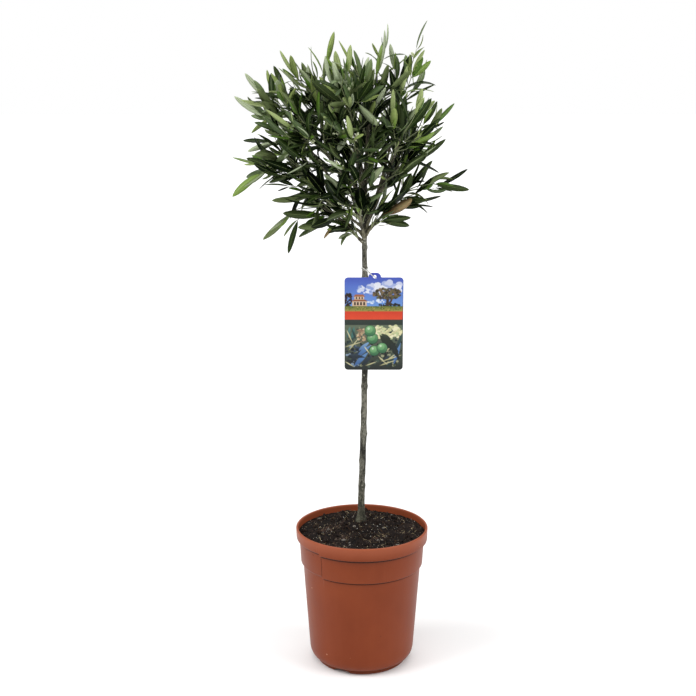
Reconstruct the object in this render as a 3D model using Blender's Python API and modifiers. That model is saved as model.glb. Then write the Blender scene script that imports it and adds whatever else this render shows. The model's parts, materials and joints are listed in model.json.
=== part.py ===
"""Young olive tree grown as a small standard, in a moulded plastic pot of soil, with a picture label.

Metres, +Z up. The origin is the centre of the pot's flat underside. -Y is the front.
Run it with: blender --background --python part.py
"""

import math

import bmesh
import bpy
from mathutils import Vector, noise

MM = 0.001

# Pot, turned about Z
POT_HEIGHT = 0.201
POT_SEGMENTS = 36
FOOT_RADIUS = 0.0645
FOOT_HEIGHT = 0.0060
CORNER_TOP = 0.024
WALL_FOOT_RADIUS = 0.0758
WALL_TOP_RADIUS = 0.0845
BAND_FOOT = 0.1455
BAND_FOOT_RADIUS = 0.0878
BAND_TOP_RADIUS = 0.0898
RIM_FOOT = 0.182
RIM_RADIUS = 0.095
RIM_THICKNESS = 0.0034
WALL_THICKNESS = 0.0022
FLOOR_THICKNESS = 0.0065
NOTCH_COUNT = 3
NOTCH_WIDTH = 0.027
NOTCH_HEIGHT = 0.0045
NOTCH_DEPTH = 0.009
NOTCH_FIRST_DEG = 243.0

# Soil inside the pot
GAP = 0.0004
SOIL_EDGE_DEPTH = 0.010
SOIL_MOUND = 0.0045
SOIL_MOUND_WIDTH = 0.055
SOIL_BUMP = 0.0016
SOIL_RINGS = 6
SOIL_SEGMENTS = 24

# Trunk: where it leaves the soil, where it ends at the head, and how it wanders between
TRUNK_FOOT = Vector((-0.001, 0.032, 0.1965))
TRUNK_HEAD = Vector((0.003, 0.026, 0.658))
TRUNK_SWAY = 0.003
TRUNK_FOOT_RADIUS = 0.0050
TRUNK_HEAD_RADIUS = 0.0034
FLARE_RADIUS = 0.0085
FLARE_HEIGHT = 0.020
TRUNK_RINGS = 22
FLAT_AROUND_TRUNK = 0.015

# Crown: every mass and tip is placed round its heart by azimuth, elevation and distance.
# Azimuth is 0 to the right (+X), 90 to the back, 180 to the left and 270 to the front.
HEART = Vector((-0.014, 0.022, 0.752))
MASS_UNEVENNESS = 0.20
MASS_GAP = 0.0016
FACET_DEG = 28.0
LIMB_CLEARANCE = 0.0030
ENTRY_SHARE = 0.46
LEAST_REACH = 0.007

# name: (azimuth, elevation, distance, radius), then the tips that stand out: (azimuth, elevation, distance)
MASSES = {
    "top": ((345, 70, 0.078, 0.047), ((350, 71, 0.160), (200, 84, 0.131))),
    "top_left": ((187, 51, 0.096, 0.051), ((172, 80, 0.142), (186, 58, 0.144), (205, 47, 0.144))),
    "top_right": ((2, 46, 0.100, 0.045), ((2, 58.3, 0.183), (12, 66, 0.136), (350, 33, 0.140))),
    "upper_left": ((181, 26, 0.113, 0.055), ((174, 40, 0.158), (188, 31, 0.168), (178, 18, 0.168))),
    "left": ((186, -12, 0.104, 0.047), ((184, -9, 0.164), (190, -23, 0.180), (176, 3, 0.142))),
    "low_left": ((188, -44, 0.104, 0.044), ((186, -49, 0.182), (196, -57, 0.178))),
    "low_right": ((357, -31, 0.108, 0.041), ((354, -23, 0.172), (2, -17, 0.166))),
    "right": ((2, 6, 0.096, 0.044), ((5, 19, 0.144), (355, 7, 0.136))),
    "front_top": ((264, 46, 0.096, 0.050), ((272, 52, 0.146), (255, 36, 0.148))),
    "front": ((272, 4, 0.104, 0.048), ((268, 12, 0.152), (278, -8, 0.150))),
    "front_left": ((226, 14, 0.102, 0.048), ((228, 24, 0.150), (222, 2, 0.150))),
    "front_right": ((316, 14, 0.102, 0.048), ((314, 26, 0.150), (320, 0, 0.150))),
    "front_low": ((272, -38, 0.094, 0.046), ((276, -34, 0.146), (262, -60, 0.138))),
    "front_under": ((226, -42, 0.100, 0.042), ((218, -62, 0.158), (232, -38, 0.150))),
    "under": ((215, -78, 0.106, 0.028), ((195, -72, 0.138), (240, -66, 0.124))),
    "under_right": ((338, -56, 0.104, 0.032), ((350, -44, 0.134), (322, -52, 0.124))),
    "back_top": ((92, 44, 0.098, 0.050), ((86, 54, 0.150), (104, 34, 0.152))),
    "back_left": ((134, 6, 0.104, 0.050), ((130, 20, 0.156), (140, -10, 0.152))),
    "back_right": ((46, 8, 0.104, 0.050), ((50, 22, 0.156), (42, -8, 0.152))),
    "back": ((90, 0, 0.106, 0.048), ((92, 8, 0.156), (82, -10, 0.150))),
    "back_low": ((96, -42, 0.096, 0.046), ((100, -36, 0.148), (80, -56, 0.136))),
}

# Each mass has one bough: where it starts, and its share of the way along the limb that it starts from
BOUGHS = {
    "top": ("trunk", 1.00),
    "top_left": ("top", 0.34),
    "front_top": ("top", 0.20),
    "back_top": ("top", 0.27),
    "upper_left": ("trunk", 0.970),
    "left": ("upper_left", 0.30),
    "low_left": ("trunk", 0.925),
    "front_under": ("trunk", 0.942),
    "top_right": ("trunk", 0.982),
    "right": ("top_right", 0.28),
    "low_right": ("trunk", 0.935),
    "front": ("trunk", 0.988),
    "front_left": ("front", 0.30),
    "front_right": ("trunk", 0.948),
    "under": ("trunk", 0.900),
    "under_right": ("trunk", 0.926),
    "front_low": ("trunk", 0.918),
    "back": ("trunk", 0.992),
    "back_left": ("back", 0.30),
    "back_right": ("trunk", 0.955),
    "back_low": ("trunk", 0.930),
}
BOUGH_RADIUS = 0.0021
SIDE_BOUGH_RADIUS = 0.0016
BOUGH_TIP_SHARE = 0.55
BOUGH_RISE_DEG = 16.0
BOUGH_POINTS = 7

# Label: a card that hangs in front of the trunk on a loop of elastic
CARD_WIDTH = 0.083
CARD_HEIGHT = 0.133
CARD_CORNER = 0.005
CARD_THICKNESS = 0.0006
CARD_CENTRE = Vector((0.0165, 0.0215, 0.4935))
LUG_WIDTH = 0.019
LUG_HEIGHT = 0.0065
LUG_OFFSET = 0.001
HOLE_RADIUS = 0.0024
STRING_RADIUS = 0.0006
STRING_TURN_POINTS = 9
STRING_HEIGHT = 0.572


def clear_scene():
    for obj in list(bpy.data.objects):
        bpy.data.objects.remove(obj)


def new_collection(name):
    collection = bpy.data.collections.new(name)
    bpy.context.scene.collection.children.link(collection)
    return collection


def new_material(name, colour, roughness):
    """A Principled material of one colour, with no metal in it."""
    material = bpy.data.materials.new(name)
    material.use_nodes = True
    shader = material.node_tree.nodes["Principled BSDF"]
    shader.inputs["Base Color"].default_value = (*colour, 1.0)
    shader.inputs["Roughness"].default_value = roughness
    shader.inputs["Metallic"].default_value = 0.0
    return material


def add_object(name, data, collection, material):
    obj = bpy.data.objects.new(name, data)
    collection.objects.link(obj)
    data.materials.append(material)
    return obj


def as_mesh(obj):
    """Replaces a curve or a modified object by its evaluated mesh, with loose caps welded."""
    bpy.context.view_layer.update()
    graph = bpy.context.evaluated_depsgraph_get()
    mesh = bpy.data.meshes.new_from_object(obj.evaluated_get(graph))
    shape = bmesh.new()
    shape.from_mesh(mesh)
    bmesh.ops.remove_doubles(shape, verts=shape.verts, dist=0.00001)
    shape.to_mesh(mesh)
    shape.free()
    name, place, collection = obj.name, obj.matrix_world.copy(), obj.users_collection[0]
    bpy.data.objects.remove(obj)
    made = bpy.data.objects.new(name, mesh)
    made.matrix_world = place
    collection.objects.link(made)
    return made


def turned(name, profile, segments, collection, material):
    """A shape turned about Z from (radius, height) points that run down its outer side."""
    mesh = bpy.data.meshes.new(name)
    points = [(radius, 0.0, height) for radius, height in profile]
    edges = [(i, i + 1) for i in range(len(points) - 1)]
    mesh.from_pydata(points, edges, [])
    obj = add_object(name, mesh, collection, material)
    screw = obj.modifiers.new("turn", "SCREW")
    screw.steps = segments
    screw.render_steps = segments
    screw.use_merge_vertices = True
    screw.merge_threshold = 0.00001
    return obj


# ---- pot and soil ----


def arc(centre, radius, first_deg, last_deg, count):
    """Points along an arc in the (radius, height) plane."""
    turns = [math.radians(first_deg + (last_deg - first_deg) * i / (count - 1)) for i in range(count)]
    return [(centre[0] + radius * math.cos(t), centre[1] + radius * math.sin(t)) for t in turns]


def corner_curve(foot_radius, foot, wall_radius, top, count):
    """The rounded corner between foot and wall, a quarter of an ellipse, from the wall down to the foot."""
    turns = [math.pi / 2 * i / (count - 1) for i in range(count)]
    return [
        (foot_radius + (wall_radius - foot_radius) * math.cos(t), top - (top - foot) * math.sin(t))
        for t in turns
    ]


def inner_wall():
    """(radius, height) points up the inside of the pot, from its floor to just under the lip."""
    floor_radius = FOOT_RADIUS - 0.001
    corner = corner_curve(floor_radius, FLOOR_THICKNESS, WALL_FOOT_RADIUS - WALL_THICKNESS, CORNER_TOP, 4)
    return [
        *reversed(corner),
        (WALL_TOP_RADIUS - WALL_THICKNESS, BAND_FOOT - 0.003),
        (BAND_FOOT_RADIUS - WALL_THICKNESS, BAND_FOOT + 0.003),
        (BAND_TOP_RADIUS - WALL_THICKNESS, RIM_FOOT),
        (RIM_RADIUS - RIM_THICKNESS, RIM_FOOT + 0.006),
    ]


def make_pot(collection, cutters, material):
    lip = RIM_THICKNESS / 2
    lip_curve = arc((RIM_RADIUS - lip, POT_HEIGHT - lip), lip, 180, 0, 5)
    profile = [
        (0.0, FLOOR_THICKNESS),
        *inner_wall(),
        *lip_curve,
        (RIM_RADIUS, RIM_FOOT + 0.005),
        (RIM_RADIUS - 0.0018, RIM_FOOT),
        (BAND_TOP_RADIUS, RIM_FOOT - 0.0006),
        (BAND_FOOT_RADIUS, BAND_FOOT + 0.003),
        (WALL_TOP_RADIUS, BAND_FOOT - 0.001),
        *corner_curve(FOOT_RADIUS + 0.0022, FOOT_HEIGHT + 0.0008, WALL_FOOT_RADIUS, CORNER_TOP, 5),
        (FOOT_RADIUS + 0.0004, FOOT_HEIGHT),
        (FOOT_RADIUS, 0.0),
        (0.0, 0.0),
    ]
    pot = turned("pot", profile, POT_SEGMENTS, collection, material)
    for i in range(NOTCH_COUNT):
        cut_notch(pot, i, cutters)
    return pot


def cut_notch(pot, index, cutters):
    """One shallow arch through the foot's edge, where water drains."""
    bearing = math.radians(NOTCH_FIRST_DEG + 360.0 * index / NOTCH_COUNT)
    mesh = bpy.data.meshes.new(f"notch_{index}")
    shape = bmesh.new()
    bmesh.ops.create_cone(shape, cap_ends=True, segments=20, radius1=0.5, radius2=0.5, depth=1.0)
    for vert in shape.verts:
        along, across, up = vert.co.z, vert.co.x, vert.co.y
        vert.co = (along * 2 * NOTCH_DEPTH, across * NOTCH_WIDTH, up * 2 * NOTCH_HEIGHT)
    shape.normal_update()
    shape.to_mesh(mesh)
    shape.free()
    cutter = bpy.data.objects.new(f"notch_{index}", mesh)
    cutters.objects.link(cutter)
    cutter.location = (FOOT_RADIUS * math.cos(bearing), FOOT_RADIUS * math.sin(bearing), 0.0)
    cutter.rotation_euler = (0.0, 0.0, bearing)
    cutter.hide_render = True
    cutter.display_type = "WIRE"
    cut = pot.modifiers.new(f"notch_{index}", "BOOLEAN")
    cut.operation = "DIFFERENCE"
    cut.object = cutter


def soil_top(x, y):
    """Height of the soil: level, mounded a little towards the trunk, and lumpy away from it."""
    away = math.hypot(x - TRUNK_FOOT.x, y - TRUNK_FOOT.y)
    level = POT_HEIGHT - SOIL_EDGE_DEPTH
    mound = SOIL_MOUND * math.exp(-((max(0.0, away - FLAT_AROUND_TRUNK) / SOIL_MOUND_WIDTH) ** 2))
    lumps = min(1.0, max(0.0, away / FLAT_AROUND_TRUNK - 1.0))
    return level + mound + SOIL_BUMP * lumps * noise.noise(Vector((x * 45, y * 45, 0.0)))


def make_soil(collection, material):
    wall = [(radius - GAP, height) for radius, height in inner_wall()]
    wall[0] = (wall[0][0], FLOOR_THICKNESS + GAP)
    edge_height = POT_HEIGHT - SOIL_EDGE_DEPTH
    edge_radius = RIM_RADIUS - RIM_THICKNESS - GAP
    surface = [(edge_radius * i / SOIL_RINGS, edge_height) for i in range(SOIL_RINGS + 1)]
    profile = [*surface, *reversed(wall), (0.0, FLOOR_THICKNESS + GAP)]
    soil = as_mesh(turned("soil", profile, SOIL_SEGMENTS, collection, material))
    for vert in soil.data.vertices:
        if vert.co.z > edge_height - 0.001:
            # the outermost ring stays level, so that the soil meets the pot all round
            inside = math.hypot(vert.co.x, vert.co.y) < 0.98 * edge_radius
            vert.co.z = soil_top(vert.co.x, vert.co.y) if inside else edge_height
    return soil


# ---- limbs ----


def make_limb(name, points, radii, collection, material, bevel_resolution=1):
    """A tapering limb along points, as a curve with filled caps."""
    curve = bpy.data.curves.new(name, "CURVE")
    curve.dimensions = "3D"
    curve.bevel_depth = 1.0
    curve.bevel_resolution = bevel_resolution
    curve.use_fill_caps = True
    curve.twist_mode = "MINIMUM"
    spline = curve.splines.new("POLY")
    spline.points.add(len(points) - 1)
    for place, point, radius in zip(spline.points, points, radii):
        place.co = (*point, 1.0)
        place.radius = radius
    return add_object(name, curve, collection, material)


def trunk_point(share):
    """The trunk's centre line, from its foot at 0 to its head at 1."""
    straight = TRUNK_FOOT.lerp(TRUNK_HEAD, share)
    sway = TRUNK_SWAY * math.sin(math.pi * share) ** 1.5
    return straight + Vector((sway, -0.4 * sway, 0.0))


def trunk_radius(share):
    """Even taper, with a root flare in the lowest stretch."""
    height = share * (TRUNK_HEAD.z - TRUNK_FOOT.z)
    taper = TRUNK_FOOT_RADIUS + (TRUNK_HEAD_RADIUS - TRUNK_FOOT_RADIUS) * share
    flare = (FLARE_RADIUS - TRUNK_FOOT_RADIUS) * math.exp(-((height / FLARE_HEIGHT) ** 1.6) * 3)
    return taper + flare


def make_trunk(collection, material):
    # rings crowd towards the foot, where the flare is
    shares = [(i / (TRUNK_RINGS - 1)) ** 1.7 for i in range(TRUNK_RINGS)]
    points = [trunk_point(share) for share in shares]
    points[1].x, points[1].y = points[0].x, points[0].y
    radii = [trunk_radius(share) for share in shares]
    return make_limb("trunk", points, radii, collection, material, bevel_resolution=3)


def round_heart(azimuth, elevation, distance):
    """A place round the crown's heart."""
    a, e = math.radians(azimuth), math.radians(elevation)
    return HEART + distance * Vector((math.cos(a) * math.cos(e), math.sin(a) * math.cos(e), math.sin(e)))


def bezier(a, b, c, d, t):
    s = 1 - t
    return a * s**3 + b * 3 * s * s * t + c * 3 * s * t * t + d * t**3


def bough_path(name, paths):
    """Centre line and radii of a bough, from the limb that it grows on to where it enters its mass."""
    parent, share = BOUGHS[name]
    (azimuth, elevation, distance, mass_radius), _ = MASSES[name]
    centre = round_heart(azimuth, elevation, distance)
    radius = BOUGH_RADIUS if parent == "trunk" else SIDE_BOUGH_RADIUS
    if parent == "trunk":
        start, parent_radius = trunk_point(share), trunk_radius(share)
        along = Vector((0.0, 0.0, 1.0))
    else:
        line, radii = paths[parent]
        place = share * (len(line) - 1)
        low = int(place)
        start = line[low].lerp(line[low + 1], place - low)
        parent_radius = radii[low]
        along = (line[low + 1] - line[low]).normalized()
    if parent == "trunk" and share == 1.0:
        start = start + Vector((0.0, 0.0, GAP))
        heading = Vector((0.0, 0.0, 1.0))
        radius = TRUNK_HEAD_RADIUS
    else:
        outward = centre - start
        outward = (outward - along * outward.dot(along)).normalized()
        rise = Vector((0.0, 0.0, math.tan(math.radians(BOUGH_RISE_DEG))))
        heading = ((centre - start).normalized() + rise + 0.35 * outward).normalized()
        # the first ring leans back towards the limb it grows from, so it starts that much further out
        start = start + outward * (parent_radius + GAP + radius * heading.cross(outward).length)
    reach = (centre - start).length
    arriving = (centre - start).normalized()
    controls = (start, start + heading * reach * 0.33, centre - arriving * reach * 0.30, centre)
    entry = ENTRY_SHARE * mass_radius
    last = 1.0
    while (bezier(*controls, last) - centre).length < entry:
        last -= 0.005
    line = [bezier(*controls, last * i / (BOUGH_POINTS - 1)) for i in range(BOUGH_POINTS)]
    taper = [1 - (1 - BOUGH_TIP_SHARE) * i / (BOUGH_POINTS - 1) for i in range(BOUGH_POINTS)]
    radii = [radius * t for t in taper]
    return line, radii


# ---- masses of foliage ----


def limb_samples(paths, owner):
    """(point, clearance) along every bough, with only a thin gap left to the mass's own one."""
    samples = []
    for name, (line, radii) in paths.items():
        margin = 0.6 * MM if name == owner else LIMB_CLEARANCE
        for a, b, radius in zip(line, line[1:], radii):
            samples += [(a.lerp(b, i / 4), radius + margin) for i in range(5)]
    return samples


def cell_limit(centre, centres, direction):
    """How far a mass may reach before it crosses the plane half way to a neighbour."""
    limit = math.inf
    for other in centres:
        apart = other - centre
        along = direction.dot(apart.normalized())
        if apart.length > 0 and along > 0.001:
            limit = min(limit, (apart.length / 2 - MASS_GAP / 2) / along)
    return limit


def limb_limit(centre, samples, direction):
    """How far a facet round this direction may reach before it meets a limb."""
    limit = math.inf
    for point, clearance in samples:
        apart = point - centre
        away = apart.length
        cover = math.asin(min(1.0, clearance / away)) + math.radians(FACET_DEG)
        if direction.angle(apart) < cover:
            limit = min(limit, away - clearance)
    return limit


def make_mass(name, seed, centres, paths, collection, material):
    """One closed, uneven mass of leaves: a ball pushed in and out, with its tips pulled to their places."""
    (azimuth, elevation, distance, radius), tips = MASSES[name]
    centre = round_heart(azimuth, elevation, distance)
    others = [place for key, place in centres.items() if key != name]
    samples = limb_samples(paths, name)
    mesh = bpy.data.meshes.new(f"mass_{name}")
    shape = bmesh.new()
    bmesh.ops.create_cube(shape, size=1.0)
    bmesh.ops.subdivide_edges(shape, edges=shape.edges[:], cuts=3, use_grid_fill=True)
    reaches = {}
    for vert in shape.verts:
        direction = vert.co.normalized()
        lump = noise.noise(direction * 2.1 + Vector((seed * 7.3, 0.0, 0.0)))
        lump += 0.6 * noise.noise(direction * 5.0 + Vector((0.0, seed * 3.1, 0.0)))
        reaches[vert] = radius * (1.0 + MASS_UNEVENNESS * lump)
        vert.co = direction
    for azimuth, elevation, distance in tips:
        stretch_tip(shape, reaches, round_heart(azimuth, elevation, distance) - centre)
    for vert in shape.verts:
        limit = min(cell_limit(centre, others, vert.co), limb_limit(centre, samples, vert.co))
        vert.co = vert.co * max(LEAST_REACH, min(reaches[vert], limit)) + centre
    shape.to_mesh(mesh)
    shape.free()
    return add_object(f"mass_{name}", mesh, collection, material)


def stretch_tip(shape, reaches, tip):
    """Draws the point nearest to a tip's direction out to the tip, and its neighbours part of the way."""
    nearest = max(shape.verts, key=lambda vert: vert.co.dot(tip.normalized()))
    nearest.co = tip.normalized()
    reaches[nearest] = max(reaches[nearest], tip.length)
    for edge in nearest.link_edges:
        side = edge.other_vert(nearest)
        reaches[side] += 0.18 * max(0.0, tip.length - reaches[side])


# ---- label ----


def card_outline():
    """Rounded card with a round-topped lug, anticlockwise, in the card's own plane."""
    w, h = CARD_WIDTH / 2 - CARD_CORNER, CARD_HEIGHT / 2 - CARD_CORNER
    lug = LUG_WIDTH / 2
    lug_left, lug_right = LUG_OFFSET - lug, LUG_OFFSET + lug
    top = CARD_HEIGHT / 2
    points = []
    points += arc((w, -h), CARD_CORNER, -90, 0, 5)
    points += arc((w, h), CARD_CORNER, 0, 90, 5)
    points += [(lug_right + 0.001, top)]
    points += arc((lug_right - 0.005, top + LUG_HEIGHT - 0.005), 0.005, 0, 90, 4)
    points += arc((lug_left + 0.005, top + LUG_HEIGHT - 0.005), 0.005, 90, 180, 4)
    points += [(lug_left - 0.001, top)]
    points += arc((-w, h), CARD_CORNER, 90, 180, 5)
    points += arc((-w, -h), CARD_CORNER, 180, 270, 5)
    return points


def add_outline(curve, points):
    spline = curve.splines.new("POLY")
    spline.points.add(len(points) - 1)
    for place, (x, y) in zip(spline.points, points):
        place.co = (x, y, 0.0, 1.0)
    spline.use_cyclic_u = True


def hole_centre():
    return Vector((LUG_OFFSET, CARD_HEIGHT / 2 + 0.0010))


def make_card(collection, material):
    curve = bpy.data.curves.new("label_card", "CURVE")
    curve.dimensions = "2D"
    curve.fill_mode = "BOTH"
    curve.extrude = CARD_THICKNESS / 2
    add_outline(curve, card_outline())
    hole = hole_centre()
    add_outline(curve, arc((hole.x, hole.y), HOLE_RADIUS, 360, 30, 12))
    card = add_object("label_card", curve, collection, material)
    card.location = CARD_CENTRE
    card.rotation_euler = (math.radians(90), 0.0, 0.0)
    return as_mesh(card)


def string_points():
    """The elastic's closed loop: round the trunk, down to the card, and through its hole."""
    hole = hole_centre()
    eye = CARD_CENTRE + Vector((hole.x, 0.0, hole.y))
    trunk = trunk_point((STRING_HEIGHT - TRUNK_FOOT.z) / (TRUNK_HEAD.z - TRUNK_FOOT.z))
    radius = trunk_radius(0.8) + STRING_RADIUS + GAP
    points = []
    for i in range(STRING_TURN_POINTS):
        turn = math.radians(-50 + 290 * i / (STRING_TURN_POINTS - 1))
        lift = 0.0012 * math.sin(2 * turn)
        points.append(Vector((trunk.x + radius * math.cos(turn), trunk.y + radius * math.sin(turn),
                              STRING_HEIGHT + lift)))
    return [*points, eye + Vector((0.0, -0.0026, -0.0006)), eye + Vector((0.0, 0.0018, -0.0006))]


def make_string(collection, material):
    curve = bpy.data.curves.new("label_string", "CURVE")
    curve.dimensions = "3D"
    curve.bevel_depth = STRING_RADIUS
    curve.bevel_resolution = 1
    spline = curve.splines.new("POLY")
    points = string_points()
    spline.points.add(len(points) - 1)
    for place, point in zip(spline.points, points):
        place.co = (*point, 1.0)
    spline.use_cyclic_u = True
    return add_object("label_string", curve, collection, material)


def build():
    clear_scene()
    tree = new_collection("potted_olive_tree")
    cutters = new_collection("cutters")
    terracotta = new_material("pot_plastic", (0.28, 0.085, 0.038), 0.45)
    earth = new_material("soil", (0.025, 0.018, 0.013), 0.95)
    bark = new_material("bark", (0.15, 0.14, 0.11), 0.8)
    leaves = new_material("foliage", (0.09, 0.13, 0.06), 0.6)
    card = new_material("label_card", (0.55, 0.55, 0.60), 0.35)
    elastic = new_material("label_string", (0.85, 0.85, 0.83), 0.7)

    make_pot(tree, cutters, terracotta)
    make_soil(tree, earth)
    make_trunk(tree, bark)
    paths = {}
    for name in BOUGHS:
        paths[name] = bough_path(name, paths)
        make_limb(f"bough_{name}", *paths[name], tree, bark)
    centres = {name: round_heart(*placing[:3]) for name, (placing, _) in MASSES.items()}
    for seed, name in enumerate(MASSES):
        make_mass(name, seed + 1, centres, paths, tree, leaves)
    make_card(tree, card)
    make_string(tree, elastic)


build()
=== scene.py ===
import json
import math
import random

import bmesh
import bpy
import numpy as np
from mathutils import Matrix, Vector, noise
from mathutils.bvhtree import BVHTree
from mathutils.geometry import delaunay_2d_cdt

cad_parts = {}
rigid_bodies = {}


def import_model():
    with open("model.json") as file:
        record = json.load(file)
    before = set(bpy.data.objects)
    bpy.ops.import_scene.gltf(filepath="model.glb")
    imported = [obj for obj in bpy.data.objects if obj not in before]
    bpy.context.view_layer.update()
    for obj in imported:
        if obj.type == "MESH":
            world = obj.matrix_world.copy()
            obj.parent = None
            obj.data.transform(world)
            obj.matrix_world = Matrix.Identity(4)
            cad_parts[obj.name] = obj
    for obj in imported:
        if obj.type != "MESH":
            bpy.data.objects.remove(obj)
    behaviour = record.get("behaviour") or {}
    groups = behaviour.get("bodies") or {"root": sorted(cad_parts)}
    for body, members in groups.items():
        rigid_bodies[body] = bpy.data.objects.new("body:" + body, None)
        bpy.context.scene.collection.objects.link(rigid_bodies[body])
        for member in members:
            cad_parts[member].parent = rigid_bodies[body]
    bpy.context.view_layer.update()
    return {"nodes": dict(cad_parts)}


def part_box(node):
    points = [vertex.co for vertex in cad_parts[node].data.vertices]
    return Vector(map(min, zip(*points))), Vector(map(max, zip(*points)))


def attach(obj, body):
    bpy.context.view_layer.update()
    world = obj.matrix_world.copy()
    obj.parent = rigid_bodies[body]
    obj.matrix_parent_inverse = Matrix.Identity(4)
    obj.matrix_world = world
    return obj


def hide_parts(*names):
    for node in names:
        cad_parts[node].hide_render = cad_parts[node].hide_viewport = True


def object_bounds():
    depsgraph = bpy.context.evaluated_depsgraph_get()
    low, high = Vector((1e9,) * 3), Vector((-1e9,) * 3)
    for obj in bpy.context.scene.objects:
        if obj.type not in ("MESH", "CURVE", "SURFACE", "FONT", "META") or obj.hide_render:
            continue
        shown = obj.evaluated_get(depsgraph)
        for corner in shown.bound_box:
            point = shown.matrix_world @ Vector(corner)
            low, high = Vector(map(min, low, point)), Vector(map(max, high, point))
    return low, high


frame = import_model()
print("frame loaded:", len(frame["nodes"]), "nodes")

up = Vector((0.0, 0.0, 1.0))
mm = 0.001


# small helpers for node trees

def addNode(tree, kind, inputs=None, **settings):
    node = tree.nodes.new(kind)
    for key, value in settings.items():
        setattr(node, key, value)
    for key, value in (inputs or {}).items():
        if isinstance(value, bpy.types.NodeSocket):
            tree.links.new(value, node.inputs[key])
        else:
            node.inputs[key].default_value = value
    return node


def mathNode(tree, operation, first, second=0.0, clamp=False):
    return addNode(tree, "ShaderNodeMath", {0: first, 1: second}, operation=operation, use_clamp=clamp).outputs[0]


def plus(tree, first, second, clamp=False):
    return mathNode(tree, "ADD", first, second, clamp)


def minus(tree, first, second, clamp=False):
    return mathNode(tree, "SUBTRACT", first, second, clamp)


def times(tree, first, second, clamp=False):
    return mathNode(tree, "MULTIPLY", first, second, clamp)


def over(tree, first, second):
    return mathNode(tree, "DIVIDE", first, second)


def rampNode(tree, factor, stops):
    # stops are (place, screen colour)
    node = addNode(tree, "ShaderNodeValToRGB", {"Fac": factor})
    ramp = node.color_ramp
    while len(ramp.elements) < len(stops):
        ramp.elements.new(0.5)
    for element, (place, ink) in zip(ramp.elements, stops):
        element.position = place
        element.color = (*shade(*ink), 1.0)
    return node.outputs["Color"]


def mixShade(tree, factor, first, second, blend="MIX"):
    node = addNode(tree, "ShaderNodeMix", data_type="RGBA", blend_type=blend)
    for socket, value in ((node.inputs[0], factor), (node.inputs[6], first), (node.inputs[7], second)):
        if isinstance(value, bpy.types.NodeSocket):
            tree.links.new(value, socket)
        else:
            socket.default_value = value if not isinstance(value, tuple) else (*value[:3], 1.0)
    return node.outputs[2]


def shade(red, green, blue):
    # screen values from 0 to 255, as linear light
    def linear(value):
        value /= 255
        return value / 12.92 if value <= 0.04045 else ((value + 0.055) / 1.055) ** 2.4
    return (linear(red), linear(green), linear(blue))


def newFinish(name, colour, roughness, **own):
    # a Principled material; own holds values for the shader's own sockets
    material = bpy.data.materials.new(name)
    material.use_nodes = True
    shader = material.node_tree.nodes["Principled BSDF"]
    shader.inputs["Base Color"].default_value = (*colour, 1.0)
    shader.inputs["Roughness"].default_value = roughness
    for key, value in own.items():
        shader.inputs[key.replace("_", " ")].default_value = value
    return material


def shaderOf(material):
    return material.node_tree, material.node_tree.nodes["Principled BSDF"]


def newGroup(name, kind, inputs, outputs):
    # the group, its inputs by name, and its output node
    group = bpy.data.node_groups.new(name, kind)
    for side, sockets in (("INPUT", inputs), ("OUTPUT", outputs)):
        for label, socketType, value in sockets:
            socket = group.interface.new_socket(label, in_out=side, socket_type=socketType)
            if value is not None:
                socket.default_value = value
    given = {socket.name: socket for socket in group.nodes.new("NodeGroupInput").outputs}
    return group, given, group.nodes.new("NodeGroupOutput")


# mottle: slow change of tone, with fine grain, for anything that grew or was moulded

def buildMottle():
    group, given, made = newGroup("mottle", "ShaderNodeTree", [
        ("Vector", "NodeSocketVector", None),
        ("Patch Size", "NodeSocketFloat", 0.03),
        ("Grain Size", "NodeSocketFloat", 0.002),
        ("Grain Share", "NodeSocketFloat", 0.3),
        ("Contrast", "NodeSocketFloat", 1.0),
    ], [("Amount", "NodeSocketFloat", None), ("Grain", "NodeSocketFloat", None)])
    patchScale = over(group, 1.0, given["Patch Size"])
    grainScale = over(group, 1.0, given["Grain Size"])
    patches = addNode(group, "ShaderNodeTexNoise",
                      {"Vector": given["Vector"], "Scale": patchScale, "Detail": 3.0})
    grain = addNode(group, "ShaderNodeTexNoise",
                    {"Vector": given["Vector"], "Scale": grainScale, "Detail": 4.0, "Roughness": 0.65})
    low = minus(group, patches.outputs[0], 0.5)
    high = minus(group, grain.outputs[0], 0.5)
    high = times(group, high, given["Grain Share"])
    both = times(group, plus(group, low, high), given["Contrast"])
    group.links.new(plus(group, both, 0.5, clamp=True), made.inputs["Amount"])
    group.links.new(grain.outputs[0], made.inputs["Grain"])
    return group


# specks: scattered small spots, each at its own strength

def buildSpecks():
    group, given, made = newGroup("specks", "ShaderNodeTree", [
        ("Vector", "NodeSocketVector", None),
        ("Spacing", "NodeSocketFloat", 0.012),
        ("Size", "NodeSocketFloat", 0.1),
        ("Share", "NodeSocketFloat", 0.4),
    ], [("Mask", "NodeSocketFloat", None)])
    scale = over(group, 1.0, given["Spacing"])
    cells = addNode(group, "ShaderNodeTexVoronoi", {"Vector": given["Vector"], "Scale": scale})
    pick = addNode(group, "ShaderNodeSeparateColor", {"Color": cells.outputs["Color"]})
    kept = mathNode(group, "LESS_THAN", pick.outputs[0], given["Share"])
    size = times(group, given["Size"], plus(group, pick.outputs[1], 0.3))
    dot = minus(group, 1.0, over(group, cells.outputs["Distance"], size), clamp=True)
    dot = times(group, dot, 3.0, clamp=True)
    group.links.new(times(group, dot, kept), made.inputs["Mask"])
    return group


mottleGroup = buildMottle()
specksGroup = buildSpecks()


def addGroup(tree, group, vector, **values):
    node = addNode(tree, "ShaderNodeGroup", node_tree=group)
    tree.links.new(vector, node.inputs["Vector"])
    for key, value in values.items():
        node.inputs[key].default_value = value
    return node


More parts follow.
